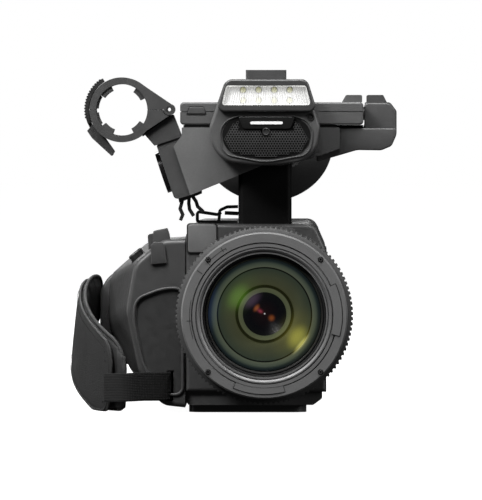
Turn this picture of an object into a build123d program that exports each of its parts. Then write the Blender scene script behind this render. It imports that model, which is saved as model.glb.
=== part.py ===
from build123d import *
import math
import os

# Camcorder with a top handle. Millimetres.
# +Z is up and -Y is the way the lens looks, so +X is the operator's left side.
# The origin is the mouth of the tripod thread, in the plane that the camcorder stands on.

# ---------------------------------------------------------------- driving dimensions
lens_z = 61.0            # height of the optical axis
lens_front = -150.0      # front face of the lens
body_front = -80.0       # front wall of the main casing
body_rear = 128.0        # rear edge of the main casing
body_top = 114.0
body_in = -48.0          # side of the casing that the hand grip is fixed to
body_out = 37.0          # side of the casing that carries the controls
wall = 2.4               # moulded wall thickness
fit = 0.05               # radial running clearance of a shaft in its hole
gap = 0.4                # clearance between parts that move past each other

barrel_r = 42.0          # outside of the fixed lens barrel
filter_r = 36.0          # filter thread, M72
front_ring_r = 49.3
focus_r = 52.6

block_top = 172.0        # top of the handle's front block
panel_bottom = 173.6     # underside of the folded display
panel_thick = 13.6
panel_in, panel_out = -51.0, 59.2
panel_front, panel_rear = -78.0, -5.0
fold_x, fold_z = 69.4, 170.0     # axis the display folds about, along Y
fold_r = 10.0

head_front = -108.0
head_back = -80.0
head_z = 150.0                   # lowest point of the microphone head

clamp_x, clamp_z = -86.0, 182.6  # axis of the microphone holder, along Y
clamp_out, clamp_in = 19.5, 15.4
clamp_mic = 12.6                 # radius that the pads hold
clamp_front, clamp_rear = -82.0, -60.0
pin_x, pin_z = -57.5, 182.8                    # holder's hinge pin
latch_x, latch_z = -103.0, 169.4   # pivot of the holder's latch

finder_y, finder_z = 121.0, 166.0  # pivot of the viewfinder
finder_r = 19.5
finder_cheek = 17.0      # half the width of the fork round the pivot

lean = 18.5                      # lean of the sound input panel, in degrees

strap_slot_x, strap_slot_z = -56.8, 16.5   # where the hand strap enters the grip
web_width, web_thick = 17.0, 1.6
strap_slope = 13.0                         # the hand strap falls towards the front


def across(y):
    """Plane facing the front at depth y. Its own x is X and its own y is Z."""
    return Plane(origin=(0, y, 0), x_dir=(1, 0, 0), z_dir=(0, -1, 0))


def beside(x):
    """Plane facing the operator's left at x. Its own x is Y and its own y is Z."""
    return Plane(origin=(x, 0, 0), x_dir=(0, 1, 0), z_dir=(1, 0, 0))


lens_plane = Plane(origin=(0, 0, lens_z), x_dir=(0, 1, 0), z_dir=(1, 0, 0))
lens_axis = Axis((0, 0, lens_z), (0, 1, 0))


def save(piece, name):
    """Writes a finished piece as its own file."""
    piece.part.label = name
    export_step(piece.part, f"parts/{name}.step")


def band(y0, y1, r0, r1):
    """Section of a tube round the lens axis, from y0 to y1 and between two radii."""
    with BuildSketch(lens_plane) as section:
        with Locations(((y0 + y1) / 2, (r0 + r1) / 2)):
            Rectangle(y1 - y0, r1 - r0)
    return section.sketch


def shape(plane, points, radii):
    """A face with rounded corners on a plane."""
    with BuildSketch(plane) as section:
        with BuildLine():
            FilletPolyline(*points, radius=radii, close=True)
        make_face()
    return section.sketch


def disc(plane, centre, outer, inner=0.0):
    """A round face, or a ring, on a plane."""
    with BuildSketch(plane) as section:
        with Locations(centre):
            Circle(outer)
            if inner:
                Circle(inner, mode=Mode.SUBTRACT)
    return section.sketch


def sector(plane, centre, inner, outer, start, span):
    """Part of a ring on a plane, from a start angle and over a span in degrees."""
    with BuildSketch(plane) as section:
        with BuildLine():
            far = CenterArc(centre, outer, start, span)
            near = CenterArc(centre, inner, start, span)
            Line(far @ 0, near @ 0)
            Line(far @ 1, near @ 1)
        make_face()
    return section.sketch


def polar(centre, radius, degrees):
    """The point at an angle and a distance from a centre."""
    turn = math.radians(degrees)
    return (centre[0] + radius * math.cos(turn), centre[1] + radius * math.sin(turn))


# ---------------------------------------------------------------- base and casing
def base():
    plate_in, plate_out = -46.0, 25.0
    plate_front, plate_rear = -62.0, 112.0
    thick = 5.0
    bush_r, bush_deep, thread_r = 8.0, 9.0, 3.175
    pin_hole_y, pin_hole_r = -14.0, 2.4

    with BuildPart() as base_plate:
        with BuildSketch(Plane.XY):
            with Locations(((plate_in + plate_out) / 2, (plate_front + plate_rear) / 2)):
                RectangleRounded(plate_out - plate_in, plate_rear - plate_front, 8)
            Circle(bush_r, mode=Mode.SUBTRACT)
            with Locations((0, pin_hole_y)):
                Circle(pin_hole_r, mode=Mode.SUBTRACT)
        extrude(amount=thick)
    save(base_plate, "base_plate")

    with BuildPart() as tripod_bush:
        extrude(disc(Plane.XY, (0, 0), bush_r, thread_r), amount=bush_deep)
    save(tripod_bush, "tripod_bush")

    tray_front, tray_rear = body_front + 4, body_rear - 2
    tray_out, tray_low, tray_high = 34.5, thick, 13.0
    with BuildPart() as bottom_cover:
        corners = [(body_in, tray_high), (tray_out, tray_high), (tray_out, 9),
                   (29, tray_low), (-46, tray_low), (body_in, 8)]
        extrude(shape(across(tray_rear), corners, [0.4, 0.4, 2, 2, 1, 1]), amount=tray_rear - tray_front)
        with BuildSketch(Plane.XY.offset(tray_low + wall)):
            with Locations(((body_in + tray_out) / 2 - 2, (tray_front + tray_rear) / 2)):
                Rectangle(tray_out - body_in - 16, tray_rear - tray_front - 10)
            Circle(bush_r + wall, mode=Mode.SUBTRACT)
        extrude(amount=tray_high, mode=Mode.SUBTRACT)
        extrude(disc(Plane.XY, (0, 0), bush_r), amount=bush_deep, mode=Mode.SUBTRACT)
    save(bottom_cover, "bottom_cover")


def casing():
    corners = [(body_in, 13), (body_in, body_top), (30, body_top), (body_out, 98), (body_out, 13)]
    inside = [(body_in + wall, 8), (body_in + wall, body_top - wall), (28.6, body_top - wall),
              (body_out - wall, 97.3), (body_out - wall, 8)]
    with BuildPart() as main_shell:
        extrude(shape(across(body_rear), corners, [0.5, 10, 7, 9, 0.5]), amount=body_rear - body_front)
        front_edges = main_shell.faces().sort_by(Axis.Y)[0].edges()
        fillet(front_edges.filter_by(lambda e: e.center().Z > 14), 2.5)
        extrude(shape(across(body_rear), inside, [0.4, 8, 5, 7, 0.4]),
                amount=body_rear - body_front - wall, mode=Mode.SUBTRACT)
        extrude(disc(across(body_front + 20), (0, lens_z), barrel_r), amount=40, mode=Mode.SUBTRACT)
    save(main_shell, "main_shell")


# ---------------------------------------------------------------- lens
def lens():
    with BuildPart() as lens_barrel:
        revolve(band(-145.4, -60, 38.8, barrel_r), axis=lens_axis)
        revolve(band(-62, -60, 16, 38.8), axis=lens_axis)
        revolve(band(-85.6, body_front, barrel_r, 49), axis=lens_axis)
    save(lens_barrel, "lens_barrel")

    screw_ring, screw_r = 46.0, 1.5
    with BuildPart() as front_ring:
        revolve(band(lens_front, -145.4, filter_r, front_ring_r), axis=lens_axis)
        revolve(band(-145.4, -141, filter_r, 38.8), axis=lens_axis)
        outer = front_ring.edges().filter_by(GeomType.CIRCLE).group_by(Axis.Y)[0].sort_by(SortBy.RADIUS)[-1]
        chamfer(outer, 1.2)
        for start, span in ((-24, 46), (-118, 40), (158, 44), (96, 30)):
            extrude(sector(across(lens_front), (0, lens_z), 42.4, 44.6, start, span), amount=1.0)
        for k in range(4):
            centre = polar((0, lens_z), screw_ring, 45 + 90 * k)
            extrude(disc(across(lens_front), centre, screw_r), amount=-1.6, mode=Mode.SUBTRACT)
    save(front_ring, "front_ring")

    with BuildPart() as front_ring_screws:
        for k in range(4):
            centre = polar((0, lens_z), screw_ring, 45 + 90 * k)
            extrude(disc(across(lens_front + 0.4), centre, screw_r), amount=-1.2)
    save(front_ring_screws, "front_ring_screws")

    for name, y0, y1, radius in (("focus_ring", -144.9, -114.4, focus_r),
                                 ("zoom_ring", -113.8, -98.4, 50.0),
                                 ("iris_ring", -97.8, -86.2, 48.0)):
        with BuildPart() as ring:
            revolve(band(y0, y1, barrel_r + fit, radius), axis=lens_axis)
            rims = ring.edges().filter_by(GeomType.CIRCLE).group_by(SortBy.RADIUS)[-1]
            chamfer(rims, 1.0)
            if name != "focus_ring":
                extrude(sector(across(y1 - 3), (0, lens_z), radius - 1, radius + 3.5, 70, 8),
                        amount=y1 - y0 - 6)
        save(ring, name)

    rim, bulge, crown = 33.8, 101.4, -139.0
    with BuildPart() as front_element:
        extrude(disc(across(-130.6), (0, lens_z), rim), amount=-130.6 - crown)
        with Locations((0, crown + bulge, lens_z)):
            Sphere(bulge, mode=Mode.INTERSECT)
    save(front_element, "front_element")

    with BuildPart() as lens_baffle:
        with BuildSketch(lens_plane):
            with BuildLine():
                Polyline((-140.9, 38.8), (-140.9, 36.6), (-139, 34.6), (-133.2, 33.8), (-130.6, 33.8),
                         (-130.6, 31.6), (-128, 31.6), (-128, 29.4), (-116, 21.4), (-116, 19.2),
                         (-112, 18), (-112, 15.6), (-104, 15.6), (-104, 13), (-100, 13), (-100, 38.8),
                         close=True)
            make_face()
        revolve(axis=lens_axis)
    save(lens_baffle, "lens_baffle")

    rim, bulge, crown = 15.6, 42.0, -109.0
    with BuildPart() as inner_element:
        extrude(disc(across(-104), (0, lens_z), rim), amount=-104 - crown)
        with Locations((0, crown + bulge, lens_z)):
            Sphere(bulge, mode=Mode.INTERSECT)
    save(inner_element, "inner_element")

    with BuildPart() as sensor_block:
        with BuildSketch(across(-40)):
            with Locations((0, lens_z)):
                RectangleRounded(46, 44, 3)
        extrude(amount=20)
        with BuildSketch(across(-34)):
            with Locations((0, lens_z)):
                Rectangle(30, 30)
        extrude(amount=6)
    save(sensor_block, "sensor_block")

    with BuildPart() as main_board:
        with BuildSketch(beside(27)):
            with Locations((35, 58)):
                RectangleRounded(150, 70, 3)
        extrude(amount=1.6)
        with BuildSketch(beside(27)):
            with Locations((0, 60), (40, 66), (80, 50)):
                RectangleRounded(18, 18, 1)
        extrude(amount=-2.4)
    save(main_board, "main_board")


# ---------------------------------------------------------------- hand grip
grip_front, grip_middle, grip_rear = -68.0, 0.0, 88.0


def grip_section(y, trim=0.0):
    """Outline of the grip at depth y, trimmed inwards by a wall's thickness."""
    front = [(-48, 105), (-62, 104.5), (-79, 90), (-84, 62), (-76, 25), (-62, 5), (-48, 3.5)]
    middle = [(-48, 105), (-66, 104), (-90, 84), (-93, 54), (-80, 20), (-60, 5), (-48, 3.5)]
    rear = [(-48, 103), (-74, 100), (-99, 78), (-99, 48), (-84, 18), (-62, 6), (-48, 6)]
    corners = {grip_front: front, grip_middle: middle, grip_rear: rear}[y]
    section = shape(across(y), corners, [0, 10, 14, 20, 15, 10, 0])
    return offset(section, amount=-trim, kind=Kind.INTERSECTION, mode=Mode.PRIVATE) if trim else section


rocker_plane = Plane(origin=(-77.5, -34, 93.6), x_dir=(0, 1, 0), z_dir=(-0.642, 0, 0.766))


def grip():
    with BuildPart() as grip_shell:
        loft([grip_section(y) for y in (grip_front, grip_middle, grip_rear)])
        loft([grip_section(y, wall).moved(Location((0, shift, 0)))
              for y, shift in ((grip_front, -0.1), (grip_middle, 0), (grip_rear, -wall))],
             mode=Mode.SUBTRACT)
        with BuildSketch(rocker_plane.offset(-5)):
            RectangleRounded(25, 10, 3)
        extrude(amount=12, mode=Mode.SUBTRACT)
        extrude(disc(across(grip_rear + 1), (-74, 78), 6.3), amount=8, mode=Mode.SUBTRACT)
    save(grip_shell, "grip_shell")

    panel = [(-50, 12), (-50, 74), (-60, 74), (-76.5, 68), (-77.5, 56), (-72, 30), (-62, 13)]
    with BuildPart() as grip_front_cover:
        extrude(grip_section(grip_front), amount=grip_front - body_front)
        rim = grip_front_cover.faces().sort_by(Axis.Y)[0].edges()
        fillet(rim.filter_by(lambda e: e.center().X < -48.5), 3)
        extrude(shape(across(body_front), panel, [2, 2, 12, 8, 20, 14, 6]), amount=-1.5, mode=Mode.SUBTRACT)
        with BuildSketch(across(body_front)):
            with Locations((strap_slot_x, strap_slot_z)):
                Rectangle(3.4, web_width + 1)
        extrude(amount=-14, mode=Mode.SUBTRACT)
    save(grip_front_cover, "grip_front_cover")

    with BuildPart() as grip_front_panel:
        extrude(shape(across(body_front + 1.5), panel, [2, 2, 12, 8, 20, 14, 6]), amount=1.0)
        with BuildSketch(across(body_front)):
            with Locations((strap_slot_x, strap_slot_z)):
                Rectangle(4.4, web_width + 2)
        extrude(amount=-2, mode=Mode.SUBTRACT)
    save(grip_front_panel, "grip_front_panel")

    with BuildPart() as zoom_rocker:
        with BuildSketch(rocker_plane.offset(-1)):
            RectangleRounded(24, 9, 2.9)
        extrude(amount=4.4)
        top = zoom_rocker.faces().sort_by(Axis((0, 0, 0), (-0.642, 0, 0.766)))[-1]
        fillet(top.edges(), 1.2)
        with Locations(Location(rocker_plane) * Location((0, 0, 0), (90, 0, 0))):
            Cylinder(2, 9)
    save(zoom_rocker, "zoom_rocker")

    with BuildPart() as rec_button:
        extrude(disc(across(grip_rear + 2.4), (-74, 78), 5.9), amount=5)
        fillet(rec_button.faces().sort_by(Axis.Y)[-1].edges(), 0.8)
    save(rec_button, "rec_button")

    lug_front, lug_rear = -76.5, -68.4
    with BuildPart() as strap_lugs:
        with BuildSketch(across(lug_rear)):
            with BuildLine():
                FilletPolyline((-70, 98.2), (-70.6, 107.6), (-60.4, 109.6), (-57, 104.9), (-62, 104.5),
                               radius=[0.3, 1.5, 1.5, 0.3, 0.3], close=True)
            make_face()
        extrude(amount=lug_rear - lug_front)
        with BuildSketch(Plane.XY.offset(106.2)):
            with Locations((-64, (lug_front + lug_rear) / 2)):
                Rectangle(30, 4.4)
        extrude(amount=-4, mode=Mode.SUBTRACT)
        with BuildSketch(across(grip_rear + 6)):
            with Locations((-95, 62)):
                RectangleRounded(10.8, 30, 2)
        extrude(amount=6)
    save(strap_lugs, "strap_lugs")


def hand_strap():
    slope = math.radians(strap_slope)
    middle_z, width = 42.6, 50.0
    strap_plane = Plane(origin=(0, 12, middle_z), x_dir=(1, 0, 0), z_dir=(0, -math.sin(slope), math.cos(slope)))

    centre, inner, pad_thick, cover_thick = (73.6, 14.4), 186.5, 4.0, 2.0
    with BuildPart() as hand_strap_pad:
        extrude(sector(strap_plane, centre, inner, inner + pad_thick, 159.2, 54.8), amount=width / 2, both=True)
        with Locations((-85, -75, -9.5)):
            Box(60, 60, 20, mode=Mode.SUBTRACT)
    save(hand_strap_pad, "hand_strap_pad")

    with BuildPart() as hand_strap_cover:
        extrude(sector(strap_plane, centre, inner + pad_thick, inner + pad_thick + cover_thick, 164, 43),
                amount=width / 2, both=True)
    save(hand_strap_cover, "hand_strap_cover")

    with BuildPart() as strap_webbing:
        with BuildSketch(Plane.XY.offset(strap_slot_z)):
            with BuildLine():
                FilletPolyline((strap_slot_x, -66), (strap_slot_x, -83), (-81, -86.2), (-97.2, -63.4), radius=2.2)
            trace(line_width=web_thick)
        extrude(amount=web_width / 2, both=True)
    save(strap_webbing, "strap_webbing")


# ---------------------------------------------------------------- handle
block_front, block_rear = -80.0, -5.0
arm_start = 45.0
fold_middle = (panel_front + panel_rear) / 2     # the fold's depth along Y
knuckle_half, cheek_inner, cheek_outer = 10.5, 10.9, 18.5
tilt_z = panel_bottom + panel_thick / 2
shaft_r = 4.0

block_corners = [(-15, block_top), (arm_start, block_top), (arm_start, 159.4), (27, 153), (10, 149), (-2, 149)]
box_corners = [(-50, block_top), (-15, block_top), (-2, 149), (-44.9, 131.3), (-54.9, 160.6), (-50, 167.2)]
slab_corners = [(-65.5, 162), (-50, 167.2), (-54.9, 160.6), (-44.9, 131.3), (-54.3, 128.6)]


def prism(corners, radii, y0, y1):
    """A straight piece with a section that faces the front, between two depths."""
    with BuildPart() as piece:
        extrude(shape(across(y1), corners, radii), amount=y1 - y0)
    return piece.part


def handle():
    pillar_half, bar_half, bar_low = 16.0, 14.0, 154.0
    with BuildPart() as handle_pillar:
        with BuildSketch(Plane.XY.offset(body_top)):
            with Locations((0, -55)):
                RectangleRounded(2 * pillar_half, 40, 3)
        extrude(amount=41)
        add(prism(block_corners, 0, block_front, block_rear), mode=Mode.SUBTRACT)
        add(prism(box_corners, 0, block_front, block_rear), mode=Mode.SUBTRACT)
    save(handle_pillar, "handle_pillar")

    with BuildPart() as handle_front_block:
        add(prism(block_corners, [0.4, 0.4, 0.4, 20, 14, 0.4], block_front, block_rear))
        cavity = [(-10, block_top - wall), (arm_start - wall, block_top - wall), (arm_start - wall, 161.2),
                  (26, 155.4), (9.8, 151.6), (-0.6, 151.6)]
        add(prism(cavity, 0.6, block_front + wall, block_rear - wall), mode=Mode.SUBTRACT)
        arm = [(arm_start, block_top), (57.5, block_top), (57.5, 160.5), (48, 160.5), (arm_start, 159.4)]
        add(prism(arm, [0, 1, 2, 4, 0], fold_middle - 15, fold_middle + 15))
        strip = [(57.4, block_top), (fold_x, block_top), (fold_x, 161), (57.4, 161)]
        add(prism(strip, 0, fold_middle - knuckle_half, fold_middle + knuckle_half))
        extrude(disc(across(fold_middle + knuckle_half), (fold_x, fold_z), 9.4), amount=2 * knuckle_half)
        extrude(disc(across(0), (fold_x, fold_z), 3), amount=100, mode=Mode.SUBTRACT)
    save(handle_front_block, "handle_front_block")

    with BuildPart() as handle_bar:
        side = [(block_rear, bar_low), (block_rear, 171), (block_rear + 6, 180), (90, 180), (98, 172), (98, body_top),
                (78, body_top), (72, bar_low)]
        extrude(shape(beside(-bar_half), side, [0.5, 3, 6, 7, 8, 0.5, 0.5, 14]), amount=2 * bar_half)
        rims = handle_bar.edges().filter_by(lambda e: abs(abs(e.center().X) - bar_half) < 0.01
                                            and e.center().Z > body_top + 1 and e.center().Y > block_rear + 0.1)
        fillet(rims, 3)
        extrude(disc(beside(-8), (finder_y, finder_z), 12), amount=16)
        with BuildSketch(beside(-8)):
            with Locations(((95 + finder_y) / 2, finder_z)):
                Rectangle(finder_y - 95, 20)
        extrude(amount=16)
        extrude(disc(beside(-20), (finder_y, finder_z), 3), amount=40, mode=Mode.SUBTRACT)
        extrude(disc(Plane.XY.offset(177.4), (0, 14), 6.3), amount=5, mode=Mode.SUBTRACT)
    save(handle_bar, "handle_bar")

    with BuildPart() as handle_rec_button:
        extrude(disc(Plane.XY.offset(178.8), (0, 14), 5.9), amount=3.2)
        fillet(handle_rec_button.faces().sort_by(Axis.Z)[-1].edges(), 0.8)
    save(handle_rec_button, "handle_rec_button")


def display():
    with BuildPart() as lcd_hinge_block:
        body = [(60.5, fold_z), (79.4, fold_z), (79.4, 182), (75.5, 187.2), (60.5, 187.2)]
        add(prism(body, [0, 0, 3, 3, 0.6], fold_middle - cheek_outer, fold_middle + cheek_outer))
        extrude(disc(across(fold_middle + cheek_outer), (fold_x, fold_z), fold_r), amount=2 * cheek_outer)
        bump = [(61.5, 187.2), (73.5, 187.2), (71.3, 191.6), (61.5, 191.6)]
        add(prism(bump, [0, 0, 1, 1], fold_middle - cheek_outer, fold_middle + cheek_outer))
        pocket = [(56, 158), (82, 158), (82, 179.6), (56, 179.6)]
        add(prism(pocket, 0, fold_middle - cheek_inner, fold_middle + cheek_inner), mode=Mode.SUBTRACT)
        extrude(disc(across(0), (fold_x, fold_z), 3 + fit), amount=100, mode=Mode.SUBTRACT)
        extrude(disc(beside(51), (fold_middle, tilt_z), shaft_r), amount=9.6)
    save(lcd_hinge_block, "lcd_hinge_block")

    with BuildPart() as lcd_panel_shell:
        section = [(panel_in, panel_bottom), (panel_out, panel_bottom),
                   (panel_out, panel_bottom + panel_thick), (panel_in, panel_bottom + panel_thick)]
        add(prism(section, 2.2, panel_front, panel_rear))
        rims = lcd_panel_shell.faces().sort_by(Axis.Y)
        fillet(rims[0].edges() + rims[-1].edges(), 1.2)
        bump = [(46.5, 187.2), (58.6, 187.2), (58.6, 191.6), (49, 191.6)]
        add(prism(bump, [0, 0, 1, 1], fold_middle - cheek_outer, fold_middle + cheek_outer))
        extrude(disc(beside(50), (fold_middle, tilt_z), shaft_r + fit), amount=12, mode=Mode.SUBTRACT)
        with BuildSketch(Plane.XY.offset(panel_bottom)):
            with Locations((0, fold_middle)):
                RectangleRounded(86, 58, 1.5)
        extrude(amount=2.4, mode=Mode.SUBTRACT)
        with BuildSketch(Plane.XY.offset(181.3)):
            with Locations(((panel_in + panel_out) / 2, fold_middle)):
                Rectangle(200, 200)
                Rectangle(panel_out - panel_in - 1.2, panel_rear - panel_front - 1.2, mode=Mode.SUBTRACT)
        extrude(amount=0.5, mode=Mode.SUBTRACT)
    save(lcd_panel_shell, "lcd_panel_shell")

    with BuildPart() as lcd_screen:
        with BuildSketch(Plane.XY.offset(panel_bottom + 0.8)):
            with Locations((0, fold_middle)):
                RectangleRounded(86, 58, 1.5)
        extrude(amount=1.6)
    save(lcd_screen, "lcd_screen")


def sound_inputs():
    with BuildPart() as input_box:
        add(prism(box_corners, [0.4, 0.4, 0.4, 0.4, 0.4, 0.4], block_front, block_rear))
        cavity = [(-47.6, block_top - wall), (-17, block_top - wall), (-6, 149.8), (-42.8, 134.6), (-51.6, 160.4)]
        add(prism(cavity, 0.6, block_front + wall, block_rear - wall), mode=Mode.SUBTRACT)
    save(input_box, "input_box")

    turn = math.radians(lean)
    face = Plane(origin=(-60.2, -44, 145.4), x_dir=(0, 1, 0), z_dir=(-math.cos(turn), 0, -math.sin(turn)))
    places = [(-15, 0), (15, 0)]
    with BuildPart() as input_panel:
        add(prism(slab_corners, [2, 0.4, 0.4, 0.4, 2.5], -78, -10))
        with BuildSketch(face.offset(1)):
            with Locations(places):
                Circle(11.4)
        extrude(amount=-9, mode=Mode.SUBTRACT)
    save(input_panel, "input_panel")

    with BuildPart() as input_sockets:
        with BuildSketch(face.offset(0.2)):
            with Locations(places):
                Circle(12.8)
        extrude(amount=2.4)
        with BuildSketch(face.offset(0.2)):
            with Locations(places):
                Circle(11.4)
        extrude(amount=-8)
        with BuildSketch(face.offset(3)):
            with Locations(places):
                Circle(9.5)
        extrude(amount=-9.4, mode=Mode.SUBTRACT)
        with BuildSketch(face.offset(-6.4)):
            with Locations(places):
                with PolarLocations(4.6, 3, start_angle=90):
                    Circle(1.2)
        extrude(amount=5)
    save(input_sockets, "input_sockets")


# ---------------------------------------------------------------- microphone holder
def mic_holder():
    y0, y1 = clamp_front, clamp_rear
    centre, pin = (clamp_x, clamp_z), (pin_x, pin_z)
    split = 0.15
    third = (y1 - y0) / 3
    knuckle, hole = 3.4, 1.9

    with BuildPart() as mic_holder_lower:
        lug = [(-103, 174.6), (-107, 170), (-104, 165.6), (-92, 154.6), (-90.4, 157.6), (-98.4, 169)]
        add(prism(lug, 0.6, y0 + 4, y1 - 4))
        extrude(disc(across(y1 - 8), (latch_x, latch_z), 7), amount=y1 - y0 - 16, mode=Mode.SUBTRACT)
        extrude(disc(across(y1), centre, clamp_out, clamp_in), amount=y1 - y0)
        web = [(-72, clamp_z), (pin_x, clamp_z), (pin_x + 0.2, 179.2), (-74, 168.2), (-78, 168)]
        add(prism(web, 0, y0, y1))
        extrude(disc(across(y1), centre, clamp_in), amount=y1 - y0, mode=Mode.SUBTRACT)
        upper_room = [(-110, clamp_z - split), (-50, clamp_z - split), (-50, 210), (-110, 210)]
        add(prism(upper_room, 0, y0, y1), mode=Mode.SUBTRACT)
        for y in (y1, y1 - 2 * third):
            extrude(disc(across(y + 0.2), pin, knuckle + gap), amount=third + 0.4, mode=Mode.SUBTRACT)
        extrude(disc(across(y1 - third - 0.2), pin, knuckle), amount=third - 0.4)
        extrude(disc(across(y1), pin, hole), amount=y1 - y0, mode=Mode.SUBTRACT)
        extrude(disc(across(y1), (latch_x, latch_z), 1), amount=y1 - y0, mode=Mode.SUBTRACT)
        extrude(disc(across(y1 - 8), (latch_x, latch_z), 3.6), amount=y1 - y0 - 16, mode=Mode.SUBTRACT)
    save(mic_holder_lower, "mic_holder_lower")

    tangent = 62
    top = polar(centre, clamp_out, tangent)
    with BuildPart() as mic_holder_upper:
        extrude(disc(across(y1), centre, clamp_out, clamp_in), amount=y1 - y0)
        web = [(-72, clamp_z), (pin_x, clamp_z), (pin_x + 2.2, pin_z + 2.4), top, (-82, 199)]
        add(prism(web, 0, y0, y1))
        extrude(disc(across(y1), centre, clamp_in), amount=y1 - y0, mode=Mode.SUBTRACT)
        lower_room = [(-110, clamp_z + split), (-50, clamp_z + split), (-50, 150), (-110, 150)]
        add(prism(lower_room, 0, y0, y1), mode=Mode.SUBTRACT)
        extrude(disc(across(y1 - third + 0.2), pin, knuckle + gap), amount=third + 0.4, mode=Mode.SUBTRACT)
        for y in (y1, y1 - 2 * third):
            extrude(disc(across(y), pin, knuckle), amount=third)
        extrude(disc(across(y1), pin, hole + fit), amount=y1 - y0, mode=Mode.SUBTRACT)
    save(mic_holder_upper, "mic_holder_upper")

    for name, middles in (("holder_pads_lower", (234, 312)), ("holder_pads_upper", (42, 130))):
        with BuildPart() as pads:
            for middle in middles:
                extrude(sector(across(y1 - 1), centre, clamp_mic, clamp_in, middle - 15, 30), amount=y1 - y0 - 2)
        save(pads, name)

    with BuildPart() as holder_latch:
        extrude(sector(across(y1 - 4), centre, clamp_out + 0.5, clamp_out + 2.7, 122, 92), amount=y1 - y0 - 8)
        extrude(disc(across(y1 - 8.3), (latch_x, latch_z), 3), amount=y1 - y0 - 16.6)
        for y in (y1 - 4, y0 + 8.3):
            extrude(disc(across(y), (latch_x, latch_z), 5.8), amount=4.3, mode=Mode.SUBTRACT)
        extrude(disc(across(y1), (latch_x, latch_z), 1 + fit), amount=y1 - y0, mode=Mode.SUBTRACT)
    save(holder_latch, "holder_latch")

    with BuildPart() as holder_post:
        post = [(-72.6, 168), (-66.4, 161), (-50, 166.6), (-55.2, 180)]
        add(prism(post, 0.5, y0 + 3, y1 + 4))
        add(prism(slab_corners, [2, 0.4, 0.4, 0.4, 2.5], -78, -10), mode=Mode.SUBTRACT)
        add(prism(box_corners, 0, block_front, block_rear), mode=Mode.SUBTRACT)
        web_edge = [(-74, 168.2), (pin_x + 0.2, 179.2), (-50, 184.2), (-50, 200), (-90, 200), (-90, 168.1)]
        add(prism(web_edge, 0, y0 - 1, y1 + 10), mode=Mode.SUBTRACT)
    save(holder_post, "holder_post")


# ---------------------------------------------------------------- microphone head and lamp
head_corners = [(-23.5, 200.5), (24.5, 200.5), (33.2, 172), (30, 152.3), (0, 149), (-30, 152.3), (-33.2, 172)]
window_corners = [(-23, 197), (24.6, 197), (27.6, 185.4), (-25.8, 185.4)]
bezel_corners = [(-23, 200.9), (25.4, 200.9), (31.6, 181.3), (-29.4, 181.3)]
mesh_corners = [(-17, 178.4), (19, 178.4), (28, 172), (26, 157), (0, 152.6), (-24, 157), (-26, 172)]
mesh_radii = [8, 8, 10, 12, 60, 12, 10]


def head():
    with BuildPart() as head_housing:
        add(prism(head_corners, [5, 5, 8, 16, 80, 16, 8], head_front, head_back))
        front_rim = head_housing.faces().sort_by(Axis.Y)[0].edges()
        fillet(front_rim, 2)
        extrude(shape(across(head_front), window_corners, 1.5), amount=-9, mode=Mode.SUBTRACT)
        extrude(shape(across(head_front), mesh_corners, mesh_radii), amount=-12, mode=Mode.SUBTRACT)
        extrude(disc(across(head_front), (27.3, 178.4), 2.3), amount=-2, mode=Mode.SUBTRACT)
    save(head_housing, "head_housing")

    with BuildPart() as lamp_bezel:
        extrude(shape(across(head_front), bezel_corners, [5, 5, 4, 4]), amount=4)
        fillet(lamp_bezel.faces().sort_by(Axis.Y)[0].edges(), 1.4)
        extrude(shape(across(head_front + 1), window_corners, 1.5), amount=8, mode=Mode.SUBTRACT)
    save(lamp_bezel, "lamp_bezel")

    with BuildPart() as lamp_window:
        extrude(shape(across(head_front - 1), window_corners, 1.5), amount=1.4)
    save(lamp_window, "lamp_window")

    with BuildPart() as lamp_board:
        extrude(shape(across(head_front + 9), window_corners, 1.5), amount=1.5)
        with BuildSketch(across(head_front + 7.5)):
            with Locations((1, 191.3)):
                with GridLocations(9.3, 6.2, 4, 2):
                    Circle(2)
        extrude(amount=1.8)
    save(lamp_board, "lamp_board")

    with BuildPart() as mic_grille:
        extrude(shape(across(head_front + 1.2), mesh_corners, mesh_radii), amount=1.6)
    save(mic_grille, "mic_grille")

    with BuildPart() as microphones:
        with BuildSketch(across(head_front + 12)):
            with Locations((-13, 164), (15, 164)):
                Circle(5.5)
        extrude(amount=7)
    save(microphones, "microphones")

    shoe_in, shoe_out, shoe_low, shoe_high = -11.3, 12.9, 200.5, 206.4
    with BuildPart() as accessory_shoe:
        with BuildSketch(Plane.XY.offset(shoe_low)):
            with Locations(((shoe_in + shoe_out) / 2, -93)):
                RectangleRounded(shoe_out - shoe_in, 26, 1.5)
        extrude(amount=shoe_high - shoe_low)
        for width, low, high in ((18.6, shoe_low + 1.8, shoe_high - 1.6), (12.6, shoe_low + 1.8, shoe_high + 1)):
            with BuildSketch(Plane.XY.offset(low)):
                with Locations(((shoe_in + shoe_out) / 2, -89)):
                    Rectangle(width, 28)
            extrude(amount=high - low, mode=Mode.SUBTRACT)
    save(accessory_shoe, "accessory_shoe")


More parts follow.
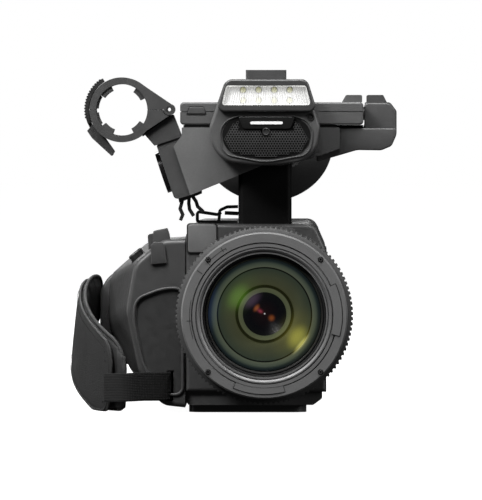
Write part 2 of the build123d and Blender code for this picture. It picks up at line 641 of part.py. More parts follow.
# ---------------------------------------------------------------- hooks and bracket
def small_fittings():
    with BuildPart() as cable_hooks:
        with BuildSketch(across(-62)):
            for route in (((-49.6, 131), (-50.1, 127), (-51.2, 123), (-49.6, 119.4), (-51, 116)),
                          ((-45.6, 132), (-46, 126.4), (-45.5, 122.6), (-43, 118.6)),
                          ((-44, 131), (-41.6, 127.4), (-40.6, 124.3), (-37.2, 121.2))):
                with BuildLine() as finger:
                    Polyline(*route)
                trace(finger.edges(), line_width=2)
        extrude(amount=9)
        add(prism([(-52.6, 131), (-38.4, 136.4), (-38, 132.2), (-51.6, 126.6)], 0.3, -71, -62))
        add(prism(slab_corners, 0, -78, -10), mode=Mode.SUBTRACT)
        add(prism(box_corners, 0, block_front, block_rear), mode=Mode.SUBTRACT)
    save(cable_hooks, "cable_hooks")

    strip = 1.8
    level = body_top + strip / 2
    with BuildPart() as cord_bracket:
        with BuildSketch(across(-48)):
            with BuildLine() as base_strip:
                FilletPolyline((-16.4, level), (-41, level), (-41, level + 6.2), (-29, level + 4.4),
                               (-26.6, level + 5.6), radius=1.4)
            trace(base_strip.edges(), line_width=strip)
            with BuildLine() as loop_strip:
                FilletPolyline((-28, level), (-27.4, level + 7), (-23, level + 9), (-16.4, level + 9.2), radius=1.6)
            trace(loop_strip.edges(), line_width=strip)
        extrude(amount=12)
        with BuildSketch(across(-50)):
            with BuildLine() as bar:
                Line((-24.4, level + 5.4), (-16.2, level + 5))
            trace(bar.edges(), line_width=2.2)
        extrude(amount=8)
        add(prism([(-16, 110), (16, 110), (16, 150), (-16, 150)], 0, -75, -35), mode=Mode.SUBTRACT)
    save(cord_bracket, "cord_bracket")


# ---------------------------------------------------------------- viewfinder
def viewfinder():
    tongue = 8.4
    with BuildPart() as viewfinder_housing:
        with BuildSketch(beside(-finder_cheek)):
            with Locations((finder_y, finder_z)):
                Circle(finder_r - 2)
        extrude(amount=2 * finder_cheek)
        with BuildSketch(across(136)):
            with Locations((0, finder_z)):
                RectangleRounded(2 * finder_cheek, 2 * (finder_r - 2), 3)
        extrude(amount=136 - finder_y)
        with BuildSketch(across(172)):
            with Locations((0, finder_z)):
                RectangleRounded(44, 39, 7)
        extrude(amount=36)
        with BuildSketch(across(173)):
            with Locations((0, finder_z)):
                RectangleRounded(38, 33, 5)
        extrude(amount=34, mode=Mode.SUBTRACT)
        with BuildSketch(beside(-tongue)):
            with Locations((finder_y - 3.3, finder_z)):
                Rectangle(33.5, 60)
        extrude(amount=2 * tongue, mode=Mode.SUBTRACT)
        extrude(disc(beside(-30), (finder_y, finder_z), 3 + fit), amount=60, mode=Mode.SUBTRACT)
    save(viewfinder_housing, "viewfinder_housing")

    with BuildPart() as eyepiece_lens:
        with BuildSketch(across(171)):
            with Locations((0, finder_z)):
                RectangleRounded(37.8, 32.8, 5)
        extrude(amount=3)
    save(eyepiece_lens, "eyepiece_lens")

    rings = ((172, 23, 21, 0), (183, 35, 30, -2.5), (203, 42, 37, -5.5))    # depth, half sizes, drop
    with BuildPart() as eyecup:
        outer = []
        inner = []
        for y, half_width, half_height, drop in rings:
            for sections, less, shift in ((outer, 0, 0), (inner, 2.4, 0.01)):
                with BuildSketch(across(y + (shift if y > 180 else -shift))) as section:
                    with Locations((0, finder_z + drop)):
                        Ellipse(half_width - less, half_height - less)
                sections.append(section.sketch)
        loft(outer)
        loft(inner, mode=Mode.SUBTRACT)
    save(eyecup, "eyecup")


# ---------------------------------------------------------------- battery and controls
def battery_and_controls():
    cell_in, cell_out, cell_low, cell_high = -30.0, 14.0, 26.0, 96.0
    cell_front, cell_rear = 92.0, 158.0
    middle = ((cell_in + cell_out) / 2, (cell_low + cell_high) / 2)
    wide, tall = cell_out - cell_in, cell_high - cell_low
    rear_face = body_rear + 3.0

    with BuildPart() as battery:
        with BuildSketch(across(cell_rear)):
            with Locations(middle):
                RectangleRounded(wide, tall, 4)
        extrude(amount=cell_rear - cell_front)
        fillet(battery.faces().sort_by(Axis.Y)[-1].edges(), 2)
    save(battery, "battery")

    corners = [(body_in, 13), (body_in, body_top), (30, body_top), (body_out, 98), (body_out, 13)]
    with BuildPart() as rear_cover:
        extrude(shape(across(rear_face), corners, [0.5, 10, 7, 9, 0.5]), amount=3)
        fillet(rear_cover.faces().sort_by(Axis.Y)[-1].edges(), 1.5)
        with BuildSketch(across(rear_face + 1)):
            with Locations(middle):
                RectangleRounded(wide + 2 * gap, tall + 2 * gap, 4)
        extrude(amount=6, mode=Mode.SUBTRACT)
    save(rear_cover, "rear_cover")

    cover_out = body_out + 3.0
    dial_y, dial_z, switch_y, switch_z = 62.0, 42.0, -30.0, 40.0
    with BuildPart() as side_control_cover:
        with BuildSketch(beside(body_out)):
            with Locations((32, 57)):
                RectangleRounded(150, 66, 6)
        extrude(amount=3)
        fillet(side_control_cover.faces().sort_by(Axis.X)[-1].edges(), 1)
        extrude(disc(beside(cover_out - 2), (dial_y, dial_z), 9.4), amount=4, mode=Mode.SUBTRACT)
        with BuildSketch(beside(cover_out - 1.6)):
            with Locations((switch_y, switch_z)):
                RectangleRounded(10, 22, 2)
            with Locations((20, 70)):
                RectangleRounded(34.8, 28.8, 0.4)
        extrude(amount=4, mode=Mode.SUBTRACT)
    save(side_control_cover, "side_control_cover")

    with BuildPart() as menu_dial:
        extrude(disc(beside(cover_out - 1.7), (dial_y, dial_z), 9), amount=5)
        fillet(menu_dial.faces().sort_by(Axis.X)[-1].edges(), 1)
        with BuildSketch(beside(cover_out + 2.5)):
            with Locations((dial_y, dial_z)):
                with PolarLocations(6, 1):
                    Circle(1.2)
        extrude(amount=2, mode=Mode.SUBTRACT)
    save(menu_dial, "menu_dial")

    with BuildPart() as nd_filter_switch:
        with BuildSketch(beside(cover_out - 1.3)):
            with Locations((switch_y, switch_z - 5)):
                RectangleRounded(9, 10, 1.5)
        extrude(amount=3.6)
        fillet(nd_filter_switch.faces().sort_by(Axis.X)[-1].edges(), 0.8)
    save(nd_filter_switch, "nd_filter_switch")

    door_front, door_pin, door_z, door_tall, half_thick = 3.0, 36.0, 70.0, 28.0, 1.0
    with BuildPart() as card_door:
        with BuildSketch(beside(cover_out - 1.4)):
            with Locations(((door_front + door_pin) / 2, door_z)):
                Rectangle(door_pin - door_front, door_tall)
        extrude(amount=2 * half_thick)
        front_edges = card_door.edges().filter_by(Axis.X).group_by(Axis.Y)[0]
        fillet(front_edges, 1.6)
        with Locations((cover_out - 1.4 + half_thick, door_pin, door_z)):
            Cylinder(half_thick, door_tall)
    save(card_door, "card_door")

    with BuildPart() as side_buttons:
        with BuildSketch(beside(cover_out)):
            with Locations((-24, 78), (-10, 78), (-24, 66), (88, 72), (88, 60), (88, 48)):
                Circle(3)
            with Locations((44, 34), (30, 34), (16, 34)):
                SlotOverall(9, 4)
        extrude(amount=1.2)
    save(side_buttons, "side_buttons")


def pins():
    with BuildPart() as hinge_pins:
        extrude(disc(across(fold_middle + cheek_outer), (fold_x, fold_z), 3), amount=2 * cheek_outer)
        extrude(disc(beside(-finder_cheek), (finder_y, finder_z), 3), amount=2 * finder_cheek)
        extrude(disc(across(clamp_rear), (pin_x, pin_z), 1.9, 1.1), amount=clamp_rear - clamp_front)
        extrude(disc(across(clamp_rear - 4), (latch_x, latch_z), 1), amount=clamp_rear - clamp_front - 8)
    save(hinge_pins, "hinge_pins")


os.makedirs("parts", exist_ok=True)
base()
casing()
lens()
grip()
hand_strap()
handle()
display()
sound_inputs()
mic_holder()
head()
small_fittings()
viewfinder()
battery_and_controls()
pins()
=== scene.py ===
# %% [markdown]
# # A hand-held camcorder with a top handle
# The imported model gives every rigid part its true size and place. This lesson dresses that frame: it adds
# the ribbed rings, the painted reflections inside the lens, the stitched hand strap and the perforated
# grille, and it gives each part a finish made from nodes. Everything is in metres, so a value in millimetres
# is multiplied by MM.

# %% Load the frame
import math

import bmesh
import bpy
from mathutils import Matrix, Vector


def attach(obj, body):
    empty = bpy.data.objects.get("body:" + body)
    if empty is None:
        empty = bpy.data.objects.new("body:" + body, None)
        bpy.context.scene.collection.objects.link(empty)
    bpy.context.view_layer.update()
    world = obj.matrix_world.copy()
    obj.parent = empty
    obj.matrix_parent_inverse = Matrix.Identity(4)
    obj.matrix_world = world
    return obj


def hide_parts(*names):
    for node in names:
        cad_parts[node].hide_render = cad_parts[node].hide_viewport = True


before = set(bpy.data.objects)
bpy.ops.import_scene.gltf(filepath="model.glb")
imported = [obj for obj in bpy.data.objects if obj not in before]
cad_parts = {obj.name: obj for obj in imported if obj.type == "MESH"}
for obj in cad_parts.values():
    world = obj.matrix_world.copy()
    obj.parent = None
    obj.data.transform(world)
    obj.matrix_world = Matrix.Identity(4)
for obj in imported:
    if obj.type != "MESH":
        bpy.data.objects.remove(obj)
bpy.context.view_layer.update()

MM = 0.001
TURN = 2 * math.pi
scene = bpy.context.scene

# %% [markdown]
# ## Colours and noise
# Most of the surface is moulded plastic. Real mouldings are never one flat colour: a fine spark-eroded
# grain catches the light, and handling leaves soft patches. Two noises on object coordinates give both,
# so the pattern stays fixed to the part when it moves.

# %% Colour helpers
def linear(value):
    """A 0-255 display value as linear light."""
    value = value / 255
    return value / 12.92 if value <= 0.04045 else ((value + 0.055) / 1.055) ** 2.4


def colour(red, green, blue):
    return (linear(red), linear(green), linear(blue), 1.0)


def grey(value):
    return colour(value, value, value)


def scaled(shade, share):
    return tuple(c * share for c in shade[:3]) + (1.0,)


finishes = {}


# %% A material with object coordinates ready
def begin(name):
    material = bpy.data.materials.new(name + "_look")
    material.use_nodes = True
    tree = material.node_tree
    shader = tree.nodes["Principled BSDF"]
    place = tree.nodes.new("ShaderNodeTexCoord")
    finishes[name] = material
    return tree, shader, place.outputs["Object"]


def noise(tree, vector, size_mm, detail=2.0, rough=0.5):
    node = tree.nodes.new("ShaderNodeTexNoise")
    node.inputs["Scale"].default_value = 1 / (size_mm * MM)
    node.inputs["Detail"].default_value = detail
    node.inputs["Roughness"].default_value = rough
    tree.links.new(vector, node.inputs["Vector"])
    return node.outputs["Fac"]


def between(tree, factor, low, high, start=0.3, end=0.7):
    """Turns a 0-1 pattern into a number from low to high."""
    node = tree.nodes.new("ShaderNodeMapRange")
    node.inputs["From Min"].default_value = start
    node.inputs["From Max"].default_value = end
    node.inputs["To Min"].default_value = low
    node.inputs["To Max"].default_value = high
    tree.links.new(factor, node.inputs["Value"])
    return node.outputs["Result"]


def blend_colours(tree, factor, first, second):
    node = tree.nodes.new("ShaderNodeMix")
    node.data_type = "RGBA"
    tree.links.new(factor, node.inputs["Factor"])
    for value, socket in ((first, node.inputs[6]), (second, node.inputs[7])):
        if isinstance(value, tuple):
            socket.default_value = value
        else:
            tree.links.new(value, socket)
    return node.outputs[2]


def bump(tree, shader, height, depth_mm, strength=1.0):
    node = tree.nodes.new("ShaderNodeBump")
    node.inputs["Strength"].default_value = strength
    node.inputs["Distance"].default_value = depth_mm * MM
    tree.links.new(height, node.inputs["Height"])
    tree.links.new(node.outputs["Normal"], shader.inputs["Normal"])


def product(tree, first, second):
    node = tree.nodes.new("ShaderNodeMath")
    node.operation = "MULTIPLY"
    tree.links.new(first, node.inputs[0])
    tree.links.new(second, node.inputs[1])
    return node.outputs["Value"]


# %% Moulded plastic, paint and rubber
def moulded(name, shade, rough, grain_mm=0.55, depth_mm=0.05, patch=0.10, speck=0.16, specular=0.5):
    """A moulded surface: grain in the bump, specks and soft patches in the colour."""
    tree, shader, where = begin(name)
    patches = between(tree, noise(tree, where, 16, 3), 0, 1)
    specks = between(tree, noise(tree, where, grain_mm * 2.2, 2), 0, 1)
    base = blend_colours(tree, patches, scaled(shade, 1 - patch), scaled(shade, 1 + patch))
    specked = blend_colours(tree, between(tree, specks, 0.55, 0.0, 0, 1), base, scaled(shade, 1 - speck))
    tree.links.new(specked, shader.inputs["Base Color"])
    polish = between(tree, noise(tree, where, 5, 3), rough - 0.06, rough + 0.06)
    tree.links.new(polish, shader.inputs["Roughness"])
    shader.inputs["Specular IOR Level"].default_value = specular
    bump(tree, shader, noise(tree, where, grain_mm, 3), depth_mm)
    return tree, shader


moulded("casing_plastic", grey(55), 0.44)
moulded("grip_plastic", grey(48), 0.48)
moulded("light_plastic", grey(86), 0.46)
moulded("black_plastic", grey(34), 0.38, depth_mm=0.03, patch=0.06)
moulded("mark_white", grey(205), 0.5, depth_mm=0.01, patch=0.03, speck=0.04)
moulded("gloss_black", grey(22), 0.16, depth_mm=0.004, patch=0.04, speck=0.05)
moulded("ring_metal", grey(82), 0.42, grain_mm=0.4, depth_mm=0.03, patch=0.05, speck=0.14)
moulded("lens_black", grey(24), 0.38, depth_mm=0.015, patch=0.06)
moulded("soft_rubber", grey(50), 0.68, grain_mm=0.5, depth_mm=0.05, specular=0.35)
moulded("mesh_metal", grey(46), 0.45, grain_mm=0.3, depth_mm=0.02)
moulded("screen", grey(16), 0.08, depth_mm=0.0, patch=0.03, speck=0.02)
moulded("circuit", colour(30, 70, 48), 0.4)
moulded("red_button", colour(150, 22, 18), 0.32, depth_mm=0.01)
_, steel = moulded("steel", grey(130), 0.34, grain_mm=0.2, depth_mm=0.01, patch=0.05)
steel.inputs["Metallic"].default_value = 1.0
_, lamp = moulded("lamp_white", grey(236), 0.4, depth_mm=0.01, patch=0.02, speck=0.03)
lamp.inputs["Emission Color"].default_value = (1, 1, 0.97, 1)
lamp.inputs["Emission Strength"].default_value = 0.8
print("mouldings", len(finishes))

# %% [markdown]
# ## Leather and webbing
# The hand strap is a soft pad in grained leather cloth with a nylon belt. Leather reads as small rounded
# cells with creases between them, which is what a Voronoi pattern gives. Webbing is a weave, so its
# pattern must follow the belt: it reads the belt's own UV map, not the object coordinates.

# %% Leather
def leather(name, shade):
    tree, shader, where = begin(name)
    cells = tree.nodes.new("ShaderNodeTexVoronoi")
    cells.feature = "DISTANCE_TO_EDGE"
    cells.inputs["Scale"].default_value = 1 / (1.1 * MM)
    tree.links.new(where, cells.inputs["Vector"])
    creases = between(tree, cells.outputs["Distance"], 0, 1, 0.0, 0.18)
    wear = between(tree, noise(tree, where, 22, 3), 0, 1)
    top = blend_colours(tree, wear, shade, scaled(shade, 1.25))
    # Painted shade: points marked by the attribute are painted near-black, as the shadow between the strap
    # and the grip.
    painted_inner_shade = tree.nodes.new("ShaderNodeAttribute")
    painted_inner_shade.attribute_name = "painted_inner_shade"
    grain = blend_colours(tree, creases, scaled(shade, 0.72), top)
    tree.links.new(blend_colours(tree, painted_inner_shade.outputs["Fac"], grain, grey(16)), shader.inputs["Base Color"])
    tree.links.new(between(tree, wear, 0.56, 0.68, 0, 1), shader.inputs["Roughness"])
    shader.inputs["Specular IOR Level"].default_value = 0.28
    bump(tree, shader, creases, 0.12)


leather("strap_leather", grey(36))


# %% Woven belt
def woven(name, shade, pitch):
    tree, shader, _ = begin(name)
    uv = tree.nodes.new("ShaderNodeUVMap")
    uv.uv_map = "weave"
    waves = []
    for direction in ("X", "Y"):
        wave = tree.nodes.new("ShaderNodeTexWave")
        wave.bands_direction = direction
        wave.inputs["Scale"].default_value = pitch
        tree.links.new(uv.outputs["UV"], wave.inputs["Vector"])
        waves.append(wave.outputs["Fac"])
    thread = between(tree, product(tree, *waves), 0, 1, 0.0, 0.7)
    tree.links.new(blend_colours(tree, thread, scaled(shade, 0.25), shade), shader.inputs["Base Color"])
    shader.inputs["Roughness"].default_value = 0.8
    shader.inputs["Specular IOR Level"].default_value = 0.12
    shader.inputs["Sheen Weight"].default_value = 0.04
    bump(tree, shader, thread, 0.35)


woven("strap_webbing", grey(22), 0.32)
print("soft finishes ready")

# %% [markdown]
# ## Glass
# The front glass and the lamp cover let light through. A thin clear sheet is best made as a mix: mostly
# transparent, with a polished layer that grows towards grazing angles, as Fresnel says it does.

# %% Clear and coated glass
def clear(name, tint, least, most, rough):
    tree, shader, where = begin(name)
    shader.inputs["Base Color"].default_value = tint
    shader.inputs["Roughness"].default_value = rough
    shader.inputs["Specular IOR Level"].default_value = 0.5
    edge = tree.nodes.new("ShaderNodeFresnel")
    edge.inputs["IOR"].default_value = 1.3
    share = between(tree, edge.outputs["Fac"], least, most, 0.0, 1.0)
    haze = between(tree, noise(tree, where, 9, 2), 0.96, 1.04)
    through = tree.nodes.new("ShaderNodeBsdfTransparent")
    mix = tree.nodes.new("ShaderNodeMixShader")
    tree.links.new(product(tree, share, haze), mix.inputs["Fac"])
    tree.links.new(through.outputs["BSDF"], mix.inputs[1])
    tree.links.new(shader.outputs["BSDF"], mix.inputs[2])
    tree.links.new(mix.outputs["Shader"], tree.nodes["Material Output"].inputs["Surface"])


clear("coated_glass", colour(10, 12, 12), 0.10, 0.9, 0.03)
clear("clear_window", grey(250), 0.35, 0.9, 0.25)


# %% Give every imported part its finish
# The handle's pillar and the grille's backing get the near-black that is painted shade.
special = {"handle_pillar": "shade_black", "mic_grille": "shade_black", "grip_front_panel": "inset_plastic",
           "lamp_bezel": "bezel_plastic", "input_box": "light_plastic", "head_housing": "top_lit_plastic",
           "lcd_panel_shell": "top_lit_plastic"}
# A lighter copy of the casing plastic for the head and the display's shell: painted light falling on the top.
moulded("top_lit_plastic", grey(68), 0.46)
# A near-black with little shine for places that sit in shadow: painted shade.
moulded("shade_black", grey(7), 0.6, depth_mm=0.02, specular=0.12)
moulded("inset_plastic", grey(30), 0.5, depth_mm=0.04)
moulded("bezel_plastic", grey(50), 0.38, depth_mm=0.03)


def dress_nodes():
    for name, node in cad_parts.items():
        for material_slot in node.material_slots:
            plain = material_slot.material.name.split(".")[0]
            material_slot.material = finishes[special.get(name, plain)]


dress_nodes()
print("finishes", sorted(finishes))

# %% [markdown]
# ## Mesh helpers
# Nearly every new piece is one of three shapes: a profile turned about an axis, an outline given depth, or
# a sector of a ring. Each helper starts from a few vertices and lets a bmesh operator do the work.

# %% Shapes from operators
lens_axis = (0, 61)    # x and z of the optical axis, in millimetres


def verts_of(result):
    """The vertices among the parts that an operator made."""
    return [part for part in result["geom"] if isinstance(part, bmesh.types.BMVert)]


def loop(bm, points):
    """A closed loop of edges through points, in metres."""
    verts = [bm.verts.new(p) for p in points]
    edges = [bm.edges.new((verts[i], verts[(i + 1) % len(verts)])) for i in range(len(verts))]
    return verts, edges


def turned(bm, profile, centre=lens_axis, steps=120, angle=TURN, start=0.0):
    """Spins a profile of (y, radius) about an axis along Y through centre, given as (x, z)."""
    axis_point = Vector((centre[0] * MM, 0, centre[1] * MM))
    lean = Matrix.Rotation(-start, 3, "Y")
    points = [axis_point + lean @ Vector((r * MM, y * MM, 0)) for y, r in profile]
    verts, edges = loop(bm, points)
    full = abs(angle - TURN) < 1e-6
    result = bmesh.ops.spin(bm, geom=verts + edges, cent=axis_point, axis=(0, -1, 0), angle=angle,
                            steps=steps, use_merge=full, use_duplicate=False)
    if not full:
        bmesh.ops.contextual_create(bm, geom=edges)
        last = [part for part in result["geom_last"] if isinstance(part, bmesh.types.BMEdge)]
        bmesh.ops.contextual_create(bm, geom=last)
    return bm


def thicken(bm, faces, depth):
    """Gives faces a depth along Y in millimetres, and returns the vertices of the new side."""
    grown = verts_of(bmesh.ops.extrude_face_region(bm, geom=faces, use_keep_orig=True))
    bmesh.ops.translate(bm, verts=grown, vec=(0, depth * MM, 0))
    return grown


def plate(bm, outline, y0, y1, corner=0.0, edge=0.0, hole=None):
    """An outline of (x, z) in millimetres, given depth from y0 (rear) to y1 (front)."""
    verts = [bm.verts.new((x * MM, y0 * MM, z * MM)) for x, z in outline]
    face = bm.faces.new(verts)
    if corner:
        before = set(bm.faces) - {face}
        bmesh.ops.bevel(bm, geom=verts, offset=corner * MM, affect="VERTICES", segments=6, profile=0.5,
                        material=-1, clamp_overlap=True)
        face = (set(bm.faces) - before).pop()
    if hole:
        rim = bmesh.ops.inset_region(bm, faces=[face], thickness=hole * MM, use_even_offset=True,
                                     use_boundary=True)
        bmesh.ops.delete(bm, geom=[face], context="FACES")
        faces = rim["faces"]
    else:
        faces = [face]
    front = thicken(bm, faces, y1 - y0)
    if edge:
        bmesh.ops.recalc_face_normals(bm, faces=bm.faces)
        front_set = set(front)
        outer = [e for e in bm.edges if all(v in front_set for v in e.verts)
                 and e.is_manifold and e.calc_face_angle(0) > 0.6]
        bmesh.ops.bevel(bm, geom=outer, offset=edge * MM, affect="EDGES", segments=3, profile=0.5,
                        material=-1)
    return bm


def piece_from(bm, name, finish, body="root", hard=38, replaced=(), tidy=True):
    """Closes the mesh, turns its faces outwards and hands it to the frame."""
    if tidy:
        bmesh.ops.remove_doubles(bm, verts=bm.verts, dist=1e-7)
        bmesh.ops.recalc_face_normals(bm, faces=bm.faces)
    mesh = bpy.data.meshes.new(name)
    bm.to_mesh(mesh)
    bm.free()
    mesh.polygons.foreach_set("use_smooth", [True] * len(mesh.polygons))
    mesh.set_sharp_from_angle(angle=math.radians(hard))
    mesh.materials.append(finishes[finish])
    piece = bpy.data.objects.new(name, mesh)
    scene.collection.objects.link(piece)
    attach(piece, body)
    if replaced:
        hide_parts(*replaced)
    print(name, len(mesh.polygons), "faces")
    return piece


def flat_piece(name, outline, y0, y1, finish, body="root", **shape):
    """A piece made from one plate."""
    bm = bmesh.new()
    plate(bm, outline, y0, y1, **shape)
    return piece_from(bm, name, finish, body)


def round_piece(name, profile, finish, body="root", hard=38, replaced=(), **sweep):
    """A piece made from one turned profile."""
    bm = bmesh.new()
    turned(bm, profile, **sweep)
    return piece_from(bm, name, finish, body, hard=hard, replaced=replaced)


# %% [markdown]
# ## Ribbed rings
# The focus ring is a rubber band with about a hundred ribs. The band is one spin, and then every second
# face of its outer side is inset and raised by itself, which gives each rib sloping flanks.

# %% Ribs on a turned band
def raise_ribs(bm, band_r, steps, tall, slope):
    """Raises every second face of the outermost band."""
    axis_point = Vector((lens_axis[0] * MM, 0, lens_axis[1] * MM))
    step = TURN / steps
    ribs = []
    for face in bm.faces:
        spoke = face.calc_center_median() - axis_point
        spoke.y = 0
        wide = max(v.co.y for v in face.verts) - min(v.co.y for v in face.verts)
        if spoke.length > (band_r - 0.15) * MM and wide > 6 * MM:
            index = int(math.floor(math.atan2(spoke.z, spoke.x) / step + 1000))
            if index % 2 == 0:
                ribs.append(face)
    bmesh.ops.recalc_face_normals(bm, faces=bm.faces)
    bmesh.ops.inset_individual(bm, faces=ribs, thickness=slope * MM, depth=tall * MM)
    return len(ribs)


bm = bmesh.new()
turned(bm, [(-144.9, 42.3), (-144.9, 50.6), (-143.9, 51.6), (-115.4, 51.6), (-114.4, 50.6), (-114.4, 42.3)],
       steps=212)
print("ribs", raise_ribs(bm, 51.6, 212, 1.0, 0.38))
piece_from(bm, "focus_ring_rubber", "soft_rubber", "focus", hard=50, replaced=("focus_ring",))

# %% Ribbed bands on the zoom and iris rings
for name, body, y0, y1, radius in (("zoom_ring_ribs", "zoom", -112.2, -100.0, 50.0),
                                   ("iris_ring_ribs", "iris", -96.4, -87.6, 48.0)):
    bm = bmesh.new()
    turned(bm, [(y0, radius - 0.3), (y0, radius + 0.35), (y1, radius + 0.35), (y1, radius - 0.3)],
           steps=134, angle=math.radians(346), start=math.radians(81))
    raise_ribs(bm, radius + 0.35, 140, 0.5, 0.3)
    piece_from(bm, name, "soft_rubber", body, hard=50)

# %% [markdown]
# ## Front ring
# The lens hood locks onto this painted ring, so its face has concentric steps, a threaded mouth and
# bayonet lugs. One closed profile holds every step and groove, and a single spin makes the ring.

# %% Turn the ring with its grooves and thread
thread = [(-141.2 - k * 0.8 + (0.0 if i == 0 else -0.4), 36.3 + (0.0 if i == 0 else 0.5))
          for k in range(8) for i in range(2)]
face_steps = [(-149.7, 39.3), (-149.7, 40.0), (-148.7, 40.1), (-148.7, 40.7), (-149.7, 40.8),
              (-149.7, 42.6), (-148.6, 42.7), (-148.6, 43.3), (-150.0, 43.4), (-150.0, 48.4), (-149.1, 49.3),
              (-145.5, 49.3), (-145.5, 39.0)]
lip = [(-147.4, 36.6), (-148.5, 36.7), (-148.5, 37.5), (-147.7, 37.6), (-147.7, 38.1), (-148.9, 38.2)]
back = [(-141.2, 39.0), (-141.2, 38.6), (-146.9, 38.4), (-147.2, 36.6)]
round_piece("front_ring_turned", lip + face_steps + back, "ring_metal", hard=30, replaced=("front_ring",),
            steps=180)
# The threaded mouth inside the ring is painted near-black, as the shade inside the recess.
thread_wall = [(-147.3, 36.9), (-147.0, 38.3), (-141.0, 38.5), (-141.0, 36.3)]
round_piece("filter_thread", thread + thread_wall, "shade_black", hard=30, steps=180)


# %% [markdown]
# ## Bayonet and screws
# Two lugs stand on the ring, each with a dark gap round it, and four screws hold it. All are turned.

# %% Bayonet lugs and the dark gaps round them
def arc_plate(bm, r0, r1, start, span, y0, y1):
    """A sector of a ring between two depths."""
    steps = max(4, int(abs(span) / 2))
    turned(bm, [(y0, r0), (y0, r1), (y1, r1), (y1, r0)], steps=steps, angle=math.radians(span),
           start=math.radians(start))


lugs = ((-15, 39, 40.9, 45.9), (-113, 38, 42.9, 46.3))    # start and span in degrees, inner and outer radius
grooves = ((120, 17, 46.0), (168, 30, 44.4))
cuts = ((120, 44.6, 46.0), (137, 44.0, 46.6), (146, 44.2, 47.8), (184, 43.0, 46.0), (122.5, 44.6, 47.6))
bm = bmesh.new()
for start, span, r0, r1 in lugs:
    arc_plate(bm, r0, r1, start, span, -149.0, -150.5)
piece_from(bm, "bayonet_lugs", "ring_metal")
bm = bmesh.new()
for start, span, r0, r1 in lugs:
    rim = math.degrees(0.45 / r1)
    arc_plate(bm, 43.0, r1 + 0.5, start - rim, span + 2 * rim, -149.2, -150.08)
for start, span, radius in grooves:
    arc_plate(bm, radius - 0.35, radius, start, span, -149.2, -150.06)
for middle, r0, r1 in cuts:
    arc_plate(bm, r0, r1, middle - 0.3, 0.6, -149.2, -150.06)
piece_from(bm, "bayonet_gaps", "lens_black")

# %% Screw heads in the ring
screw_circle = 47
screw_spots = [(lens_axis[0] + screw_circle * math.cos(math.radians(45 + 90 * k)),
                lens_axis[1] + screw_circle * math.sin(math.radians(45 + 90 * k))) for k in range(4)]
screw_head = [(-149.6, 0.02), (-149.6, 1.7), (-150.1, 1.7), (-150.6, 1.2), (-150.65, 0.75), (-150.1, 0.6),
              (-150.1, 0.02)]
screw_drive = [(-150.1, 0.5), (-150.1, 1.25), (-150.75, 1.1), (-150.75, 0.6)]
bm = bmesh.new()
for spot in screw_spots:
    turned(bm, screw_head, centre=spot, steps=20)
piece_from(bm, "front_ring_screw_heads", "gloss_black", replaced=("front_ring_screws",))
bm = bmesh.new()
for spot in screw_spots:
    turned(bm, screw_drive, centre=spot, steps=16)
piece_from(bm, "front_ring_screw_drives", "steel")

# %% [markdown]
# ## Looking into the lens
# Light coming back out of a coated lens shows rings of dim green and gold round a dark pupil: reflections of
# the lamps in the edges and coatings of the elements inside. They are painted here on one dished surface
# behind
# the front glass: colours worked out from the distance to the optical axis, soft painted glints, and a glow
# of its own.

# %% Painted reflections of the coated rings
def painted_reflection_look(name, reflection_rings, painted_glints, reach_mm, reflection_glow):
    tree, shader, where = begin(name)
    shift = tree.nodes.new("ShaderNodeMapping")
    shift.inputs["Location"].default_value = (-lens_axis[0] * MM, 0, -lens_axis[1] * MM)
    tree.links.new(where, shift.inputs["Vector"])
    flat = tree.nodes.new("ShaderNodeVectorMath")
    flat.operation = "MULTIPLY"
    flat.inputs[1].default_value = (1000, 0, 1000)
    tree.links.new(shift.outputs["Vector"], flat.inputs[0])
    spot = flat.outputs["Vector"]
    radius = tree.nodes.new("ShaderNodeVectorMath")
    radius.operation = "LENGTH"
    tree.links.new(spot, radius.inputs[0])
    share = between(tree, radius.outputs["Value"], 0, 1, 0, reach_mm)
    ramp = tree.nodes.new("ShaderNodeValToRGB")
    ramp.color_ramp.elements[0].position = 0
    while len(ramp.color_ramp.elements) < len(reflection_rings):
        ramp.color_ramp.elements.new(1.0)
    for element, (at, shade) in zip(ramp.color_ramp.elements, reflection_rings):
        element.position = at / reach_mm
        element.color = shade
    tree.links.new(share, ramp.inputs["Fac"])
    total = ramp.outputs["Color"]
    for x, z, reach, shade, stretch in painted_glints:
        apart = tree.nodes.new("ShaderNodeVectorMath")
        apart.operation = "SUBTRACT"
        apart.inputs[1].default_value = (x, 0, z)
        tree.links.new(spot, apart.inputs[0])
        turn = tree.nodes.new("ShaderNodeMapping")
        turn.vector_type = "TEXTURE"
        turn.inputs["Rotation"].default_value = (0, -math.atan2(z, x), 0)
        turn.inputs["Scale"].default_value = (1, 1, stretch)
        tree.links.new(apart.outputs["Vector"], turn.inputs["Vector"])
        length = tree.nodes.new("ShaderNodeVectorMath")
        length.operation = "LENGTH"
        tree.links.new(turn.outputs["Vector"], length.inputs[0])
        fade = tree.nodes.new("ShaderNodeMapRange")
        fade.interpolation_type = "SMOOTHERSTEP"
        fade.inputs["From Max"].default_value = reach
        fade.inputs["To Min"].default_value = 1
        fade.inputs["To Max"].default_value = 0
        tree.links.new(length.outputs["Value"], fade.inputs["Value"])
        add = tree.nodes.new("ShaderNodeMix")
        add.data_type = "RGBA"
        add.blend_type = "ADD"
        tree.links.new(fade.outputs["Result"], add.inputs["Factor"])
        tree.links.new(total, add.inputs[6])
        add.inputs[7].default_value = shade
        total = add.outputs[2]
    # The ring colours and glints are painted reflections, also set as emission, so this surface glows though
    # it is no lamp.
    tree.links.new(total, shader.inputs["Base Color"])
    tree.links.new(total, shader.inputs["Emission Color"])
    shader.inputs["Emission Strength"].default_value = reflection_glow
    shader.inputs["Roughness"].default_value = 0.35
    shader.inputs["Specular IOR Level"].default_value = 0.2
